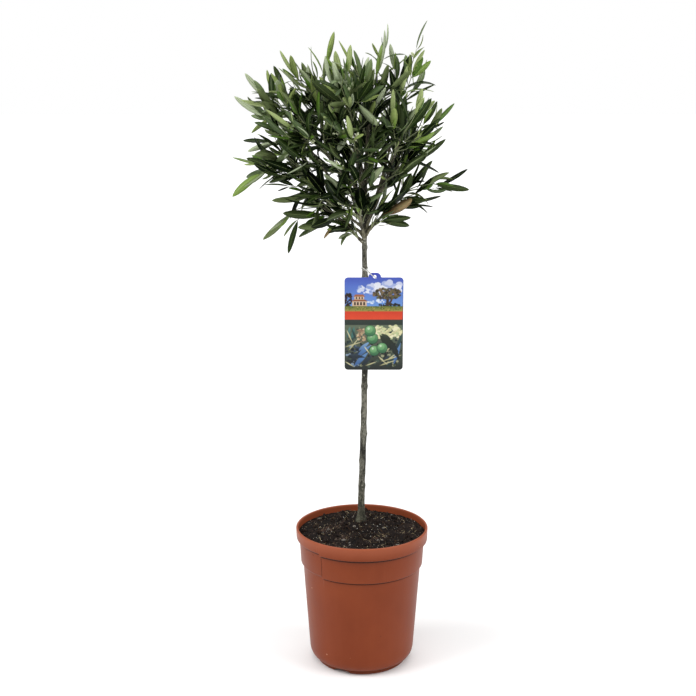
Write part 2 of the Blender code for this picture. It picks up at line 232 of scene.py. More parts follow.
def addMottle(tree, vector, patch, grain, grainShare, contrast):
    return addGroup(tree, mottleGroup, vector, **{"Patch Size": patch, "Grain Size": grain,
                                                  "Grain Share": grainShare, "Contrast": contrast})


def addBump(tree, shader, height, strength, distance):
    bump = addNode(tree, "ShaderNodeBump", {"Strength": strength, "Distance": distance, "Height": height})
    tree.links.new(bump.outputs[0], shader.inputs["Normal"])


def objectVector(tree, scale=(1.0, 1.0, 1.0)):
    place = addNode(tree, "ShaderNodeTexCoord").outputs["Object"]
    return addNode(tree, "ShaderNodeMapping", {"Vector": place, "Scale": scale}).outputs[0]


def mottledFinish(name, ground, roughness, gloss, mottle, stops, bump=None):
    # one colour that drifts between its stops; bump is (strength, distance) of the grain
    material = newFinish(name, shade(*ground), roughness, Specular_IOR_Level=gloss)
    tree, shader = shaderOf(material)
    tone = addMottle(tree, objectVector(tree), *mottle)
    tree.links.new(rampNode(tree, tone.outputs["Amount"], stops), shader.inputs["Base Color"])
    if bump:
        addBump(tree, shader, tone.outputs["Grain"], *bump)
    return material


# pieces

def addPiece(name, mesh, materials=()):
    piece = bpy.data.objects.new(name, mesh)
    bpy.context.scene.collection.objects.link(piece)
    for material in materials:
        mesh.materials.append(material)
    return piece


def meshFrom(shape, name, turnOut=True):
    # the mesh of a finished bmesh, with its faces turned outwards
    if turnOut:
        bmesh.ops.recalc_face_normals(shape, faces=shape.faces)
    mesh = bpy.data.meshes.new(name)
    shape.to_mesh(mesh)
    shape.free()
    return mesh


def joinRings(shape, rings):
    # faces between rings of as many corners each; a ring of one corner closes an end
    count = max(len(ring) for ring in rings)
    for first, second in zip(rings, rings[1:]):
        for i in range(count):
            k = (i + 1) % count
            if len(first) == 1:
                shape.faces.new((first[0], second[i], second[k]))
            elif len(second) == 1:
                shape.faces.new((first[i], second[0], first[k]))
            else:
                shape.faces.new((first[i], second[i], second[k], first[k]))


def smooth(mesh, sharpAngle=180.0):
    mesh.shade_smooth()
    if sharpAngle < 180.0:
        mesh.set_sharp_from_angle(angle=math.radians(sharpAngle))


def bake(source, name):
    # the evaluated object as a plain mesh piece, in place of the source
    bpy.context.view_layer.update()
    graph = bpy.context.evaluated_depsgraph_get()
    mesh = bpy.data.meshes.new_from_object(source.evaluated_get(graph), depsgraph=graph)
    bpy.data.objects.remove(source)
    mesh.name = name
    return addPiece(name, mesh)


def runNodes(source, tree, name, **inputs):
    # puts a Geometry Nodes tree on the source, sets its inputs by identifier, and keeps the result
    modifier = source.modifiers.new(tree.name, "NODES")
    modifier.node_group = tree
    named = {item.name: item.identifier for item in tree.interface.items_tree
             if item.item_type == "SOCKET" and item.in_out == "INPUT"}
    for key, value in inputs.items():
        modifier[named[key.replace("_", " ")]] = value
    return bake(source, name)


def weldedPoints(node):
    # one point for each corner, always in the same order
    spots = {}
    for vert in frame["nodes"][node].data.vertices:
        spots.setdefault(tuple(round(x, 5) for x in vert.co), vert.co.copy())
    points = []
    for key in sorted(spots):
        if all((spots[key] - other).length > 0.00002 for other in points):
            points.append(spots[key])
    return points


def wander(place):
    # a smooth drift in three directions, the same each run
    return Vector([noise.noise(place + up * 31.7 * i) for i in range(3)])


# camera, floor and light

studio = {
    "camera": (-0.020, -1.701, 0.828),
    "tilt": 77.9,
    "lens": 64.2,
    "floorSize": 60.0,
    "floorShade": 0.97,
    "domeStrength": 0.42,
    "backdropStrength": 1.0,
    # name: (bearing it shines from, height in degrees, strength, softness in degrees)
    "lamps": {
        "leftLamp": (200.0, 42.0, 1.45, 34.0),
        "rightLamp": (-22.0, 40.0, 1.25, 34.0),
        "frontLamp": (255.0, 62.0, 0.75, 50.0),
        "backLamp": (80.0, 58.0, 0.70, 50.0),
    },
}


def buildStudio():
    cameraData = bpy.data.cameras.new("camera")
    cameraData.lens = studio["lens"]
    cameraData.sensor_width = 36.0
    cameraData.clip_end = 200.0
    camera = bpy.data.objects.new("camera", cameraData)
    bpy.context.scene.collection.objects.link(camera)
    camera.location = studio["camera"]
    camera.rotation_euler = (math.radians(studio["tilt"]), 0.0, 0.0)
    bpy.context.scene.camera = camera

    side = studio["floorSize"] / 2
    mesh = bpy.data.meshes.new("floor")
    mesh.from_pydata([(-side, -side, 0), (side, -side, 0), (side, side, 0), (-side, side, 0)], [], [(0, 1, 2, 3)])
    tone = studio["floorShade"]
    floor = addPiece("floor", mesh, [newFinish("floorPaint", (tone, tone, tone), 0.9)])
    floor.location.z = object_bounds()[0].z - 0.0002

    world = bpy.data.worlds.new("studioWorld")
    bpy.context.scene.world = world
    world.use_nodes = True
    tree = world.node_tree
    background = tree.nodes["Background"]
    background.inputs["Color"].default_value = (1.0, 1.0, 1.0, 1.0)
    seen = addNode(tree, "ShaderNodeLightPath").outputs["Is Camera Ray"]
    gain = studio["backdropStrength"] - studio["domeStrength"]
    strength = plus(tree, times(tree, seen, gain), studio["domeStrength"])
    tree.links.new(strength, background.inputs["Strength"])

    for name, (bearing, height, strength, softness) in studio["lamps"].items():
        data = bpy.data.lights.new(name, "SUN")
        data.energy = strength
        data.angle = math.radians(softness)
        lamp = bpy.data.objects.new(name, data)
        lamp.rotation_euler = (math.radians(90.0 - height), 0.0, math.radians(bearing + 90.0))
        bpy.context.scene.collection.objects.link(lamp)
    bpy.context.scene.view_settings.view_transform = "Standard"


buildStudio()
print("studio set")


# pot: one moulded shell, with a stepped panel in its band on two sides

potShape = {
    "floorTop": 0.0065,
    "wall": 0.0022,
    "footRadius": 0.0645,
    "footHeight": 0.0060,
    "cornerTop": 0.024,
    "wallFootRadius": 0.0758,
    "wallTopRadius": 0.0845,
    "bandFoot": 0.1455,
    "bandFootRadius": 0.0878,
    "bandTopRadius": 0.0898,
    "rimFoot": 0.182,
    "rimWall": 0.0034,
    "columns": 150,
    "panelLift": 0.0031,
    "panels": ((152.0, 230.0), (12.0, 90.0)),
    "seamDepth": 0.00045,
    "seamHalf": 0.3,
    "rimSeamDepth": 0.00022,
    "ribHeight": 0.00016,
    "ribHalf": 0.35,
    "rimSeams": (227.0, 47.0),
    "bandRib": 293.0,
    "notches": (243.0, 3.0, 123.0),
    "drainHoles": 8,
}


def stepAcross(bearing, start, end, blur=0.22):
    # 1 between two bearings and 0 outside them, in degrees
    def rise(x):
        return min(1.0, max(0.0, x / blur + 0.5))
    return rise(bearing - start) * rise(end - bearing)


def potColumns():
    shape = potShape
    bearings = {360.0 * i / shape["columns"] for i in range(shape["columns"])}
    edges = [edge for panel in shape["panels"] for edge in panel]
    for edge in (*edges, *shape["rimSeams"], shape["bandRib"]):
        bearings |= {edge + offset for offset in (-0.55, -0.3, -0.11, 0.0, 0.11, 0.3, 0.55)}
    return sorted(bearings)


def arcPoints(centre, radius, first, last, count):
    turns = [math.radians(first + (last - first) * i / (count - 1)) for i in range(count)]
    return [(centre[0] + radius * math.cos(t), centre[1] + radius * math.sin(t)) for t in turns]


def potProfile(height, rim):
    # (radius, height, how much the panel lifts it, feature), from the floor's middle over the lip to the foot
    wall, rimWall, floor = (potShape[key] for key in ("wall", "rimWall", "floorTop"))
    foot, footTop, corner = (potShape[key] for key in ("footRadius", "footHeight", "cornerTop"))
    wallLow = potShape["wallFootRadius"]
    wallHigh, bandLow, bandHigh = (potShape[key] for key in ("wallTopRadius", "bandFootRadius", "bandTopRadius"))
    band, under = potShape["bandFoot"], potShape["rimFoot"]
    lip = rimWall / 2
    quarter = [math.pi / 2 * i / 6 for i in range(7)]
    inner = [(foot - 0.001 + (wallLow - wall - foot + 0.001) * math.cos(t),
              corner - (corner - floor) * math.sin(t)) for t in reversed(quarter)]
    outerCorner = [(foot + 0.0022 + (wallLow - foot - 0.0022) * math.cos(t),
                    corner - (corner - footTop - 0.0006) * math.sin(t)) for t in quarter]
    rows = [(0.0, floor, 0, "")]
    rows += [(r, z, 0, "") for r, z in inner]
    rows += [
        (wallHigh - wall, band - 0.003, 0, ""),
        (bandLow - wall, band + 0.003, 0, ""),
        (bandHigh - wall, under, 0, ""),
        (rim - rimWall, under + 0.006, 0, ""),
        (rim - rimWall, height - 0.004, 0, ""),
    ]
    rows += [(r, z, 0, "rim") for r, z in arcPoints((rim - lip, height - lip), lip, 180, 0, 9)]
    rows += [
        (rim - 0.0001, height - 0.006, 0.1, "rim"),
        (rim - 0.0004, under + 0.0045, 0.8, "rim"),
        (rim - 0.0006, under + 0.0014, 1, "rim"),
        (rim - 0.0009, under + 0.0006, 1, "rim"),
        # painted shade: the shadedCrease rows under the rim and at the band's foot are painted dark where shade
        # falls
        (rim - 0.0016, under + 0.0001, 1, "shadedCrease"),
        (bandHigh - 0.0004, under + 0.0009, 1, "shadedCrease"),
        (bandHigh - 0.0005, under - 0.0003, 1, "shadedCrease"),
        (bandHigh - 0.0002, under - 0.0012, 1, "shadedCrease"),
        (bandHigh - 0.0001, under - 0.0027, 1, "shadedCrease"),
        (bandHigh - 0.0001, under - 0.0037, 1, "band"),
        ((bandHigh + bandLow) / 2, (under + band) / 2 + 0.002, 1, "band"),
        (bandLow + 0.00005, band + 0.0026, 1, "band"),
        (bandLow - 0.0002, band + 0.0018, 1, "band"),
        (bandLow - 0.0008, band + 0.0012, 1, "shadedCrease"),
        (wallHigh - 0.0003, band + 0.0012, 1, "shadedCrease"),
        (wallHigh - 0.0004, band + 0.0002, 1, "shadedCrease"),
        (wallHigh + 0.0000, band - 0.0006, 1, "shadedCrease"),
        (wallHigh + 0.0001, band - 0.0014, 1, ""),
        (wallHigh - 0.0001, band - 0.0030, 1, ""),
        (wallHigh - 0.0007, band - 0.014, 0.3, ""),
    ]
    steps = 5
    top = (wallHigh - 0.0007, band - 0.014)
    rows += [(top[0] + (wallLow - top[0]) * i / steps,
              top[1] + (corner - top[1]) * i / steps, 0, "") for i in range(1, steps)]
    rows += [(r, z, 0, "") for r, z in outerCorner]
    rows += [
        # painted shade: the step at the foot is painted dark as well
        (foot + 0.0004, footTop + 0.0002, 0, "shadedCrease"),
        (foot - 0.0002, footTop - 0.0004, 0, "shadedCrease"),
        (foot + 0.0002, footTop - 0.0010, 0, ""),
        (foot + 0.0002, 0.0008, 0, ""),
        (foot - 0.0006, 0.0, 0, ""),
        (foot - 0.006, 0.0, 0, ""),
        (0.0, 0.0, 0, ""),
    ]
    return rows


def bearingGap(bearing, target):
    return abs((bearing - target + 180.0) % 360.0 - 180.0)


def nearBearing(bearing, target, half):
    # 1 at the target, falling to 0 at half a width from it
    return max(0.0, 1 - bearingGap(bearing, target) / half)


def buildPot(material):
    _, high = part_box("pot")
    rim, height = high.x, high.z
    bearings, rows = potColumns(), potProfile(height, rim)
    shape = bmesh.new()
    # painted shade: a weight at each corner that the pot's material reads to darken creases and seams
    shadedCrease = shape.verts.layers.float.new("shadedCrease")
    rings = []
    for radius, z, lifted, feature in rows:
        if radius == 0.0:
            rings.append([shape.verts.new((0.0, 0.0, z))])
            continue
        ring = []
        for bearing in bearings:
            r, tall = radius, z
            panel = sum(stepAcross(bearing, *span) for span in potShape["panels"])
            tall += potShape["panelLift"] * panel * lifted
            if feature in ("band", "shadedCrease"):
                r += 0.0003 * panel
                for edge in (e for span in potShape["panels"] for e in span):
                    r -= potShape["seamDepth"] * nearBearing(bearing, edge, potShape["seamHalf"])
                r += potShape["ribHeight"] * nearBearing(bearing, potShape["bandRib"], potShape["ribHalf"])
            if feature == "rim":
                for seam in potShape["rimSeams"]:
                    r -= potShape["rimSeamDepth"] * nearBearing(bearing, seam, potShape["seamHalf"])
            turn = math.radians(bearing)
            # a moulded shell is never quite round
            r *= 1.0 + 0.0012 * math.sin(2 * turn + 0.6) * (z / height) ** 2 * (radius < rim - 0.001)
            vert = shape.verts.new((r * math.cos(turn), r * math.sin(turn), tall))
            # painted shade: the band's panel seams are painted dark at 0.8, as shade in their grooves
            seam = min(bearingGap(bearing, e) for span in potShape["panels"] for e in span) < 0.12
            vert[shadedCrease] = 1.0 if feature == "shadedCrease" else 0.8 * (seam and feature == "band")
            ring.append(vert)
        rings.append(ring)
    joinRings(shape, rings)
    pot = addPiece("potShell", meshFrom(shape, "potShell"), [material])

    cutters = []
    foot = potShape["footRadius"]
    for bearing in potShape["notches"]:
        cutters.append(cutter(pot, 0.0135, 0.0045, 0.018, (foot, bearing), lying=True))
    for i in range(potShape["drainHoles"]):
        bearing = 22.5 + 360.0 * i / potShape["drainHoles"]
        cutters.append(cutter(pot, 0.0042, 0.0042, 0.008, (foot - 0.016, bearing), lying=False))
    pot = bake(pot, "potShell")
    for item in cutters:
        bpy.data.objects.remove(item)
    smooth(pot.data, 34.0)
    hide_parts("pot")
    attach(pot, "root")


def cutter(target, halfWidth, halfHeight, depth, place, lying):
    # an arch through the foot, or a drain hole in the floor
    shape = bmesh.new()
    bmesh.ops.create_cone(shape, cap_ends=True, segments=28, radius1=1.0, radius2=1.0, depth=1.0)
    radius, bearing = place
    turn = Matrix.Rotation(math.radians(bearing), 4, "Z") @ Matrix.Translation((radius, 0.0, 0.0))
    for vert in shape.verts:
        x, y, z = vert.co
        size = (z * depth, x * halfWidth, y * halfHeight) if lying else (x * halfWidth, y * halfHeight, z * depth)
        vert.co = turn @ Vector(size)
    tool = addPiece("cutter", meshFrom(shape, "cutter", turnOut=False))
    cut = target.modifiers.new("cut", "BOOLEAN")
    cut.operation, cut.solver, cut.object = "DIFFERENCE", "EXACT", tool
    return tool


def potPlastic():
    material = newFinish("terracottaPlastic", shade(123, 52, 19), 0.48, Specular_IOR_Level=0.2)
    tree, shader = shaderOf(material)
    place = objectVector(tree)
    tone = addMottle(tree, place, 0.07, 0.0016, 0.12, 0.9)
    colour = rampNode(tree, tone.outputs["Amount"],
                      [(0.30, (117, 48, 15)), (0.55, (123, 52, 19)), (0.80, (130, 58, 24))])
    # flow marks run up and down the wall
    flow = addNode(tree, "ShaderNodeTexNoise",
                   {"Vector": objectVector(tree, (60.0, 60.0, 5.0)), "Scale": 1.0, "Detail": 3.0})
    streak = times(tree, minus(tree, flow.outputs[0], 0.45, clamp=True), 0.5)
    colour = mixShade(tree, streak, colour, shade(140, 68, 36))
    # painted light: the rim is painted paler than the wall, as if it caught more light
    height = addNode(tree, "ShaderNodeSeparateXYZ", {"Vector": place}).outputs["Z"]
    top = times(tree, minus(tree, height, 0.183, clamp=True), 60.0, clamp=True)
    colour = mixShade(tree, times(tree, top, 0.7), colour, shade(160, 86, 58))
    dust = addGroup(tree, specksGroup, place, Spacing=0.019, Size=0.05, Share=0.35)
    colour = mixShade(tree, times(tree, dust.outputs["Mask"], 0.6), colour, shade(222, 168, 138))
    dirt = addGroup(tree, specksGroup, objectVector(tree, (0.9, 1.1, 1.0)), Spacing=0.023, Size=0.04, Share=0.3)
    colour = mixShade(tree, times(tree, dirt.outputs["Mask"], 0.75), colour, shade(58, 26, 16))
    # the wall is darker towards the foot, and painted shade darkens the creases and the band's seams
    low = minus(tree, 1.0, over(tree, height, 0.012), clamp=True)
    colour = mixShade(tree, times(tree, low, 0.4), colour, shade(88, 46, 30))
    # painted shade: the creases and seams are darkened towards near-black brown
    shadedCrease = addNode(tree, "ShaderNodeAttribute", attribute_name="shadedCrease").outputs["Fac"]
    colour = mixShade(tree, times(tree, shadedCrease, 0.9), colour, shade(48, 20, 12))
    tree.links.new(colour, shader.inputs["Base Color"])
    rough = plus(tree, times(tree, tone.outputs["Amount"], 0.16), 0.34)
    tree.links.new(plus(tree, rough, times(tree, dust.outputs["Mask"], 0.2)),
                   shader.inputs["Roughness"])
    addBump(tree, shader, tone.outputs["Grain"], 0.12, 0.0006)
    return material


buildPot(potPlastic())
print("pot made")


# soil: a crumbled surface, with crumbs, fibres, stones and white flecks strewn on it

soilShape = {
    "rings": 56,
    "columns": 150,
    "depth": 0.022,
    "lump": 0.0046,
    "crumble": 0.0022,
    "seed": 5,
}


def soilHeights():
    # level of the CAD soil's top at any place
    tree = BVHTree.FromPolygons(*trianglesOf("soil"))
    return lambda x, y: tree.ray_cast(Vector((x, y, 1.0)), -up)[0].z


def trianglesOf(node):
    mesh = frame["nodes"][node].data
    return [v.co.copy() for v in mesh.vertices], [tuple(p.vertices) for p in mesh.polygons]


def soilPoint(heightAt, edge, radius, turn):
    x, y = radius * math.cos(turn), radius * math.sin(turn)
    within = min(radius, 0.985 * edge)
    z = heightAt(within * math.cos(turn), within * math.sin(turn))
    place = Vector((x, y, 0.0))
    lumps = noise.fractal(place * 60.0, 0.9, 2.0, 3)
    crumbs = noise.fractal(place * 330.0 + Vector((5, 0, 0)), 0.8, 2.1, 4)
    dips = noise.noise(place * 24.0)
    fade = min(1.0, (edge - radius) / 0.006 + 0.35)
    z += fade * (soilShape["lump"] * (0.6 * lumps + 0.7 * dips) + soilShape["crumble"] * abs(crumbs))
    return Vector((x, y, z))


def buildSoil():
    heightAt = soilHeights()
    _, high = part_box("soil")
    edge, base = high.x, high.z - soilShape["depth"]
    shape = bmesh.new()
    rings = [[shape.verts.new(soilPoint(heightAt, edge, 0.0, 0.0))]]
    for ring in range(1, soilShape["rings"] + 1):
        radius = edge * ring / soilShape["rings"]
        turns = [2 * math.pi * (i + 0.5 * (ring % 2)) / soilShape["columns"] for i in range(soilShape["columns"])]
        rings.append([shape.verts.new(soilPoint(heightAt, edge, radius, t)) for t in turns])
    skirt = [shape.verts.new((v.co.x * 0.96, v.co.y * 0.96, base)) for v in rings[-1]]
    rings.append(skirt)
    rings.append([shape.verts.new((0.0, 0.0, base))])
    joinRings(shape, rings)
    mesh = meshFrom(shape, "soilBed")
    smooth(mesh)
    bed = addPiece("soilBed", mesh, [peatFinish()])
    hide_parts("soil")
    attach(bed, "root")
    return bed


def peatFinish():
    stops = [(0.15, (5, 3, 3)), (0.5, (17, 11, 9)), (0.75, (38, 26, 21)), (0.97, (84, 66, 54))]
    return mottledFinish("peat", (30, 23, 18), 0.95, 0.2, (0.02, 0.0022, 1.5, 1.3), stops, (0.7, 0.0012))


def strewTree():
    # scatters the shapes of a collection over the top of a surface
    tree, given, made = newGroup("strew", "GeometryNodeTree", [
        ("Geometry", "NodeSocketGeometry", None),
        ("Shapes", "NodeSocketCollection", None),
        ("Per Square Metre", "NodeSocketFloat", 50000.0),
        ("Least Size", "NodeSocketFloat", 0.001),
        ("Most Size", "NodeSocketFloat", 0.003),
        ("Stand", "NodeSocketFloat", 0.4),
        ("Sink", "NodeSocketFloat", 0.0003),
        ("Within", "NodeSocketFloat", 0.08),
        ("Seed", "NodeSocketInt", 0),
        ("Finish", "NodeSocketMaterial", None),
    ], [("Geometry", "NodeSocketGeometry", None)])
    normal = addNode(tree, "GeometryNodeInputNormal").outputs[0]
    upward = addNode(tree, "ShaderNodeSeparateXYZ", {0: normal}).outputs["Z"]
    top = addNode(tree, "FunctionNodeCompare", {0: upward, 1: 0.3}, operation="GREATER_THAN").outputs[0]
    spread = addNode(tree, "GeometryNodeDistributePointsOnFaces",
                     {"Mesh": given["Geometry"], "Selection": top,
                      "Density": given["Per Square Metre"], "Seed": given["Seed"]})
    flat = addNode(tree, "ShaderNodeVectorMath", {0: addNode(tree, "GeometryNodeInputPosition").outputs[0],
                                                  1: (1.0, 1.0, 0.0)}, operation="MULTIPLY").outputs[0]
    away = addNode(tree, "ShaderNodeVectorMath", {0: flat}, operation="LENGTH").outputs["Value"]
    outside = addNode(tree, "FunctionNodeCompare", {0: away, 1: given["Within"]}, operation="GREATER_THAN")
    inside = addNode(tree, "GeometryNodeDeleteGeometry",
                     {"Geometry": spread.outputs[0], "Selection": outside.outputs[0]})
    sink = addNode(tree, "ShaderNodeCombineXYZ", {"Z": times(tree, given["Sink"], -1.0)})
    lowered = addNode(tree, "GeometryNodeSetPosition", {"Geometry": inside.outputs[0], "Offset": sink.outputs[0]})
    size = addNode(tree, "FunctionNodeRandomValue",
                   {2: given["Least Size"], 3: given["Most Size"], "Seed": given["Seed"]}, data_type="FLOAT")
    tilt = addNode(tree, "FunctionNodeRandomValue", {"Seed": given["Seed"]}, data_type="FLOAT_VECTOR")
    lean = given["Stand"]
    most = addNode(tree, "ShaderNodeCombineXYZ", {"X": lean, "Y": lean, "Z": 6.283})
    least = addNode(tree, "ShaderNodeCombineXYZ", {"X": times(tree, lean, -1.0),
                                                   "Y": times(tree, lean, -1.0)})
    tree.links.new(least.outputs[0], tilt.inputs[0])
    tree.links.new(most.outputs[0], tilt.inputs[1])
    turn = addNode(tree, "FunctionNodeEulerToRotation", {0: tilt.outputs[0]})
    kinds = addNode(tree, "GeometryNodeCollectionInfo",
                    {"Collection": given["Shapes"], "Separate Children": True, "Reset Children": True})
    strewn = addNode(tree, "GeometryNodeInstanceOnPoints",
                     {"Points": lowered.outputs[0], "Instance": kinds.outputs[0], "Pick Instance": True,
                      "Rotation": turn.outputs[0], "Scale": size.outputs[1]})
    real = addNode(tree, "GeometryNodeRealizeInstances", {"Geometry": strewn.outputs[0]})
    painted = addNode(tree, "GeometryNodeSetMaterial",
                      {"Geometry": real.outputs[0], "Material": given["Finish"]})
    tree.links.new(painted.outputs[0], made.inputs[0])
    return tree


def shapeCollection(name, makers):
    # hidden model shapes for a Geometry Nodes tree to pick from
    collection = bpy.data.collections.new(name)
    bpy.context.scene.collection.children.link(collection)
    for i, mesh in enumerate(makers):
        item = bpy.data.objects.new(f"{name}{i:02d}", mesh)
        collection.objects.link(item)
    return collection


def dropCollection(collection):
    for item in list(collection.objects):
        bpy.data.objects.remove(item)
    bpy.data.collections.remove(collection)


def crumbMesh(seed, squash=0.7, rough=0.35, subdivisions=1):
    shape = bmesh.new()
    bmesh.ops.create_icosphere(shape, subdivisions=subdivisions, radius=0.5)
    for vert in shape.verts:
        vert.co *= 1.0 + rough * noise.noise(vert.co * 3.1 + Vector((seed * 3.7, seed, 0.0)))
        vert.co.z *= squash
    return meshFrom(shape, "crumb", turnOut=False)


def fibreMesh(seed):
    # a bent sliver, one unit long
    draw = random.Random(seed)
    shape = bmesh.new()
    rows = 5
    bend, width = draw.uniform(-0.3, 0.3), draw.uniform(0.05, 0.11)
    rings = []
    for i in range(rows):
        t = i / (rows - 1)
        x, y = t - 0.5, bend * math.sin(math.pi * t)
        z = 0.12 * math.sin(math.pi * t + seed)
        half = width * (1 - 0.7 * abs(2 * t - 1)) / 2 + 0.008
        rings.append([shape.verts.new((x, y + half * math.cos(a), z + 0.6 * half * math.sin(a)))
                      for a in (0.0, 2.094, 4.189)])
    for a, b in zip(rings, rings[1:]):
        for i in range(3):
            shape.faces.new((a[i], a[(i + 1) % 3], b[(i + 1) % 3], b[i]))
    shape.faces.new(rings[0])
    shape.faces.new(rings[-1])
    return meshFrom(shape, "fibre")


strewn = {
    # name: (shapes, count per square metre, least and most size, stand, sink, seed, finish)
    "soilClods": ([crumbMesh(i + 50, 0.75, 0.8, 2) for i in range(5)], 6200, 0.0036, 0.0095, 3.0, 0.0008, 2,
                  ("clod", (8, 5, 4), (40, 28, 22))),
    "soilCrumbs": ([crumbMesh(i, 0.7, 0.6) for i in range(5)], 56000, 0.0011, 0.0034, 3.0, 0.0002, 3,
                   ("crumb", (10, 8, 6), (44, 34, 26))),
    "soilGrit": ([crumbMesh(i + 9, 0.8, 0.5) for i in range(4)], 17000, 0.0006, 0.0016, 3.0, -0.0003, 7,
                 ("grit", (74, 62, 54), (152, 138, 122))),
    "soilFibres": ([fibreMesh(i) for i in range(5)], 15000, 0.0045, 0.0120, 0.5, 0.0, 11,
                   ("fibre", (34, 24, 16), (84, 62, 42))),
    "soilStraw": ([fibreMesh(i + 20) for i in range(4)], 5200, 0.0030, 0.0095, 0.7, -0.0008, 13,
                  ("straw", (138, 120, 88), (198, 184, 150))),
    "soilFlecks": ([crumbMesh(i + 30, 0.5, 0.5) for i in range(4)], 2600, 0.0007, 0.0016, 3.0, -0.0004, 17,
                   ("perlite", (172, 166, 154), (222, 220, 212))),
    "soilStones": ([crumbMesh(i + 40, 0.7, 0.3, 2) for i in range(3)], 620, 0.0035, 0.0075, 0.5, 0.0004, 23,
                   ("stone", (84, 78, 74), (126, 120, 112))),
}


def speckledFinish(name, dark, light):
    return mottledFinish(name, dark, 0.9, 0.2, (0.004, 0.0007, 0.6, 1.6),
                         [(0.25, dark), (0.75, light)], (0.4, 0.0004))


def strewSoil(bed):
    tree = strewTree()
    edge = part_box("soil")[1].x
    for name, (shapes, count, least, most, stand, sink, seed, finish) in strewn.items():
        kinds = shapeCollection(name + "Kinds", shapes)
        source = addPiece(name + "Source", bed.data.copy())
        piece = runNodes(source, tree, name, Shapes=kinds, Per_Square_Metre=float(count), Least_Size=least,
                         Most_Size=most, Stand=stand, Sink=sink, Within=edge - 0.55 * most, Seed=seed,
                         Finish=speckledFinish(*finish))
        dropCollection(kinds)
        piece.data.shade_flat()
        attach(piece, "root")
        print(" ", name, len(piece.data.polygons), "faces")


soilBed = buildSoil()
strewSoil(soilBed)
print("soil made")


# limbs: their middle lines come from the rings of the CAD limbs

def ringsOf(points, near):
    # groups of points that belong to one ring
    left, groups = list(points), []
    while left:
        group, edge = [], [left.pop()]
        while edge:
            point = edge.pop()
            group.append(point)
            close = [other for other in left if near(point, other)]
            left = [other for other in left if not near(point, other)]
            edge += close
        groups.append(group)
    return groups


def middleLine(groups, start):
    # (centre, radius) of each ring, in order from the one nearest to start
    rings = []
    for group in groups:
        centre = sum(group, Vector()) / len(group)
        rings.append((centre, sum((p - centre).length for p in group) / len(group)))
    line = []
    place = start
    while rings:
        nearest = min(rings, key=lambda ring: (ring[0] - place).length)
        rings.remove(nearest)
        line.append(nearest)
        place = nearest[0]
    return line


def boughLine(node, start):
    points = weldedPoints(node)
    for link in (0.005, 0.0042, 0.0035, 0.0028, 0.0022, 0.0017):
        groups = ringsOf(points, lambda a, b: (a - b).length < link)
        if all(len(group) == 6 for group in groups):
            return middleLine(groups, start)
    raise ValueError("no rings found in " + node)


def curved(line, step):
    # the same line through closer points, by Catmull-Rom
    points = [line[0], *line, line[-1]]
    out = []
    for (a, ra), (b, rb), (c, rc), (d, rd) in zip(points, points[1:], points[2:], points[3:]):
        pieces = max(1, round((c - b).length / step))
        for i in range(pieces):
            t = i / pieces
            w = (-t**3 + 2 * t**2 - t, 3 * t**3 - 5 * t**2 + 2, -3 * t**3 + 4 * t**2 + t, t**3 - t**2)
            out.append(((a * w[0] + b * w[1] + c * w[2] + d * w[3]) / 2,
                        max(0.0002, (ra * w[0] + rb * w[1] + rc * w[2] + rd * w[3]) / 2)))
    out.append(line[-1])
    return out


boughNames = sorted(name[6:] for name in frame["nodes"] if name.startswith("bough_"))
massNames = sorted(name[5:] for name in frame["nodes"] if name.startswith("mass_"))


def readLimbs():
    trunkRings = ringsOf(weldedPoints("trunk"), lambda a, b: abs(a.z - b.z) < 0.001)
    trunk = middleLine(trunkRings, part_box("trunk")[0])
    trunk.sort(key=lambda ring: ring[0].z)
    limbs = {"trunk": trunk}
    for name in boughNames:
        # a bough starts at its end that is nearer to the trunk's head
        limbs[name] = boughLine("bough_" + name, trunk[-1][0] - up * 0.03)
    return limbs


limbs = readLimbs()


def nearestOn(line, place):
    # the point of a line nearest to a place, with the line's radius there
    best = None
    for (a, ra), (b, rb) in zip(line, line[1:]):
        span = b - a
        t = min(1.0, max(0.0, (place - a).dot(span) / span.length_squared))
        point = a.lerp(b, t)
        far = (place - point).length
        if best is None or far < best[0]:
            best = (far, point, ra + (rb - ra) * t)
    return best


def rooted(name):
    # the bough's line, begun inside the limb that it grows from
    line = limbs[name]
    others = [nearestOn(other, line[0][0]) for key, other in limbs.items() if key != name]
    _, inside, radius = min(others, key=lambda item: item[0] - item[2])
    first, thick = line[0]
    drop = up * barkShape["collarDrop"] * min(1.0, radius / 0.003)
    leaving = first.lerp(line[1][0], 0.30)
    return [(inside - drop, thick * 1.1), (inside.lerp(first, 0.45) - drop * 0.55, thick * 1.35),
            (first.lerp(leaving, 0.35), thick * 1.25), (leaving, thick * 1.05), *line[1:]]


barkShape = {
    "trunkStep": 0.0022,
    "boughStep": 0.0020,
    "trunkSides": 26,
    "boughSides": 12,
    "twigSides": 6,
    "trunkRelief": 0.00125,
    "boughRelief": 0.00045,
    "collarDrop": 0.009,
    "twigRelief": 0.00008,
    # size of the relief, and how much it is stretched across
    "trunkGrain": (0.0030, 0.30),
    "boughGrain": (0.0024, 0.7),
    "twigGrain": (0.002, 1.0),
    "trunkSway": 0.0006,
    "boughSway": 0.0006,
    "knotHeight": 0.0032,
    "knotSwell": 0.0008,
    "knotBend": 0.0005,
    "jointGap": 0.017,
    "jointSwell": 0.22,
    "jointWidth": 0.0013,
    # trunk's old leaf joints: (share of its height, bearing, size)
    "knots": ((0.13, 40, 0.9), (0.21, 150, 0.7), (0.30, 300, 1.2), (0.37, 230, 0.6), (0.45, 80, 1.0),
              (0.55, 330, 0.7), (0.63, 210, 1.1), (0.70, 120, 0.6), (0.79, 280, 1.2), (0.88, 20, 0.8),
              (0.95, 180, 0.9)),
    "seed": 3,
}


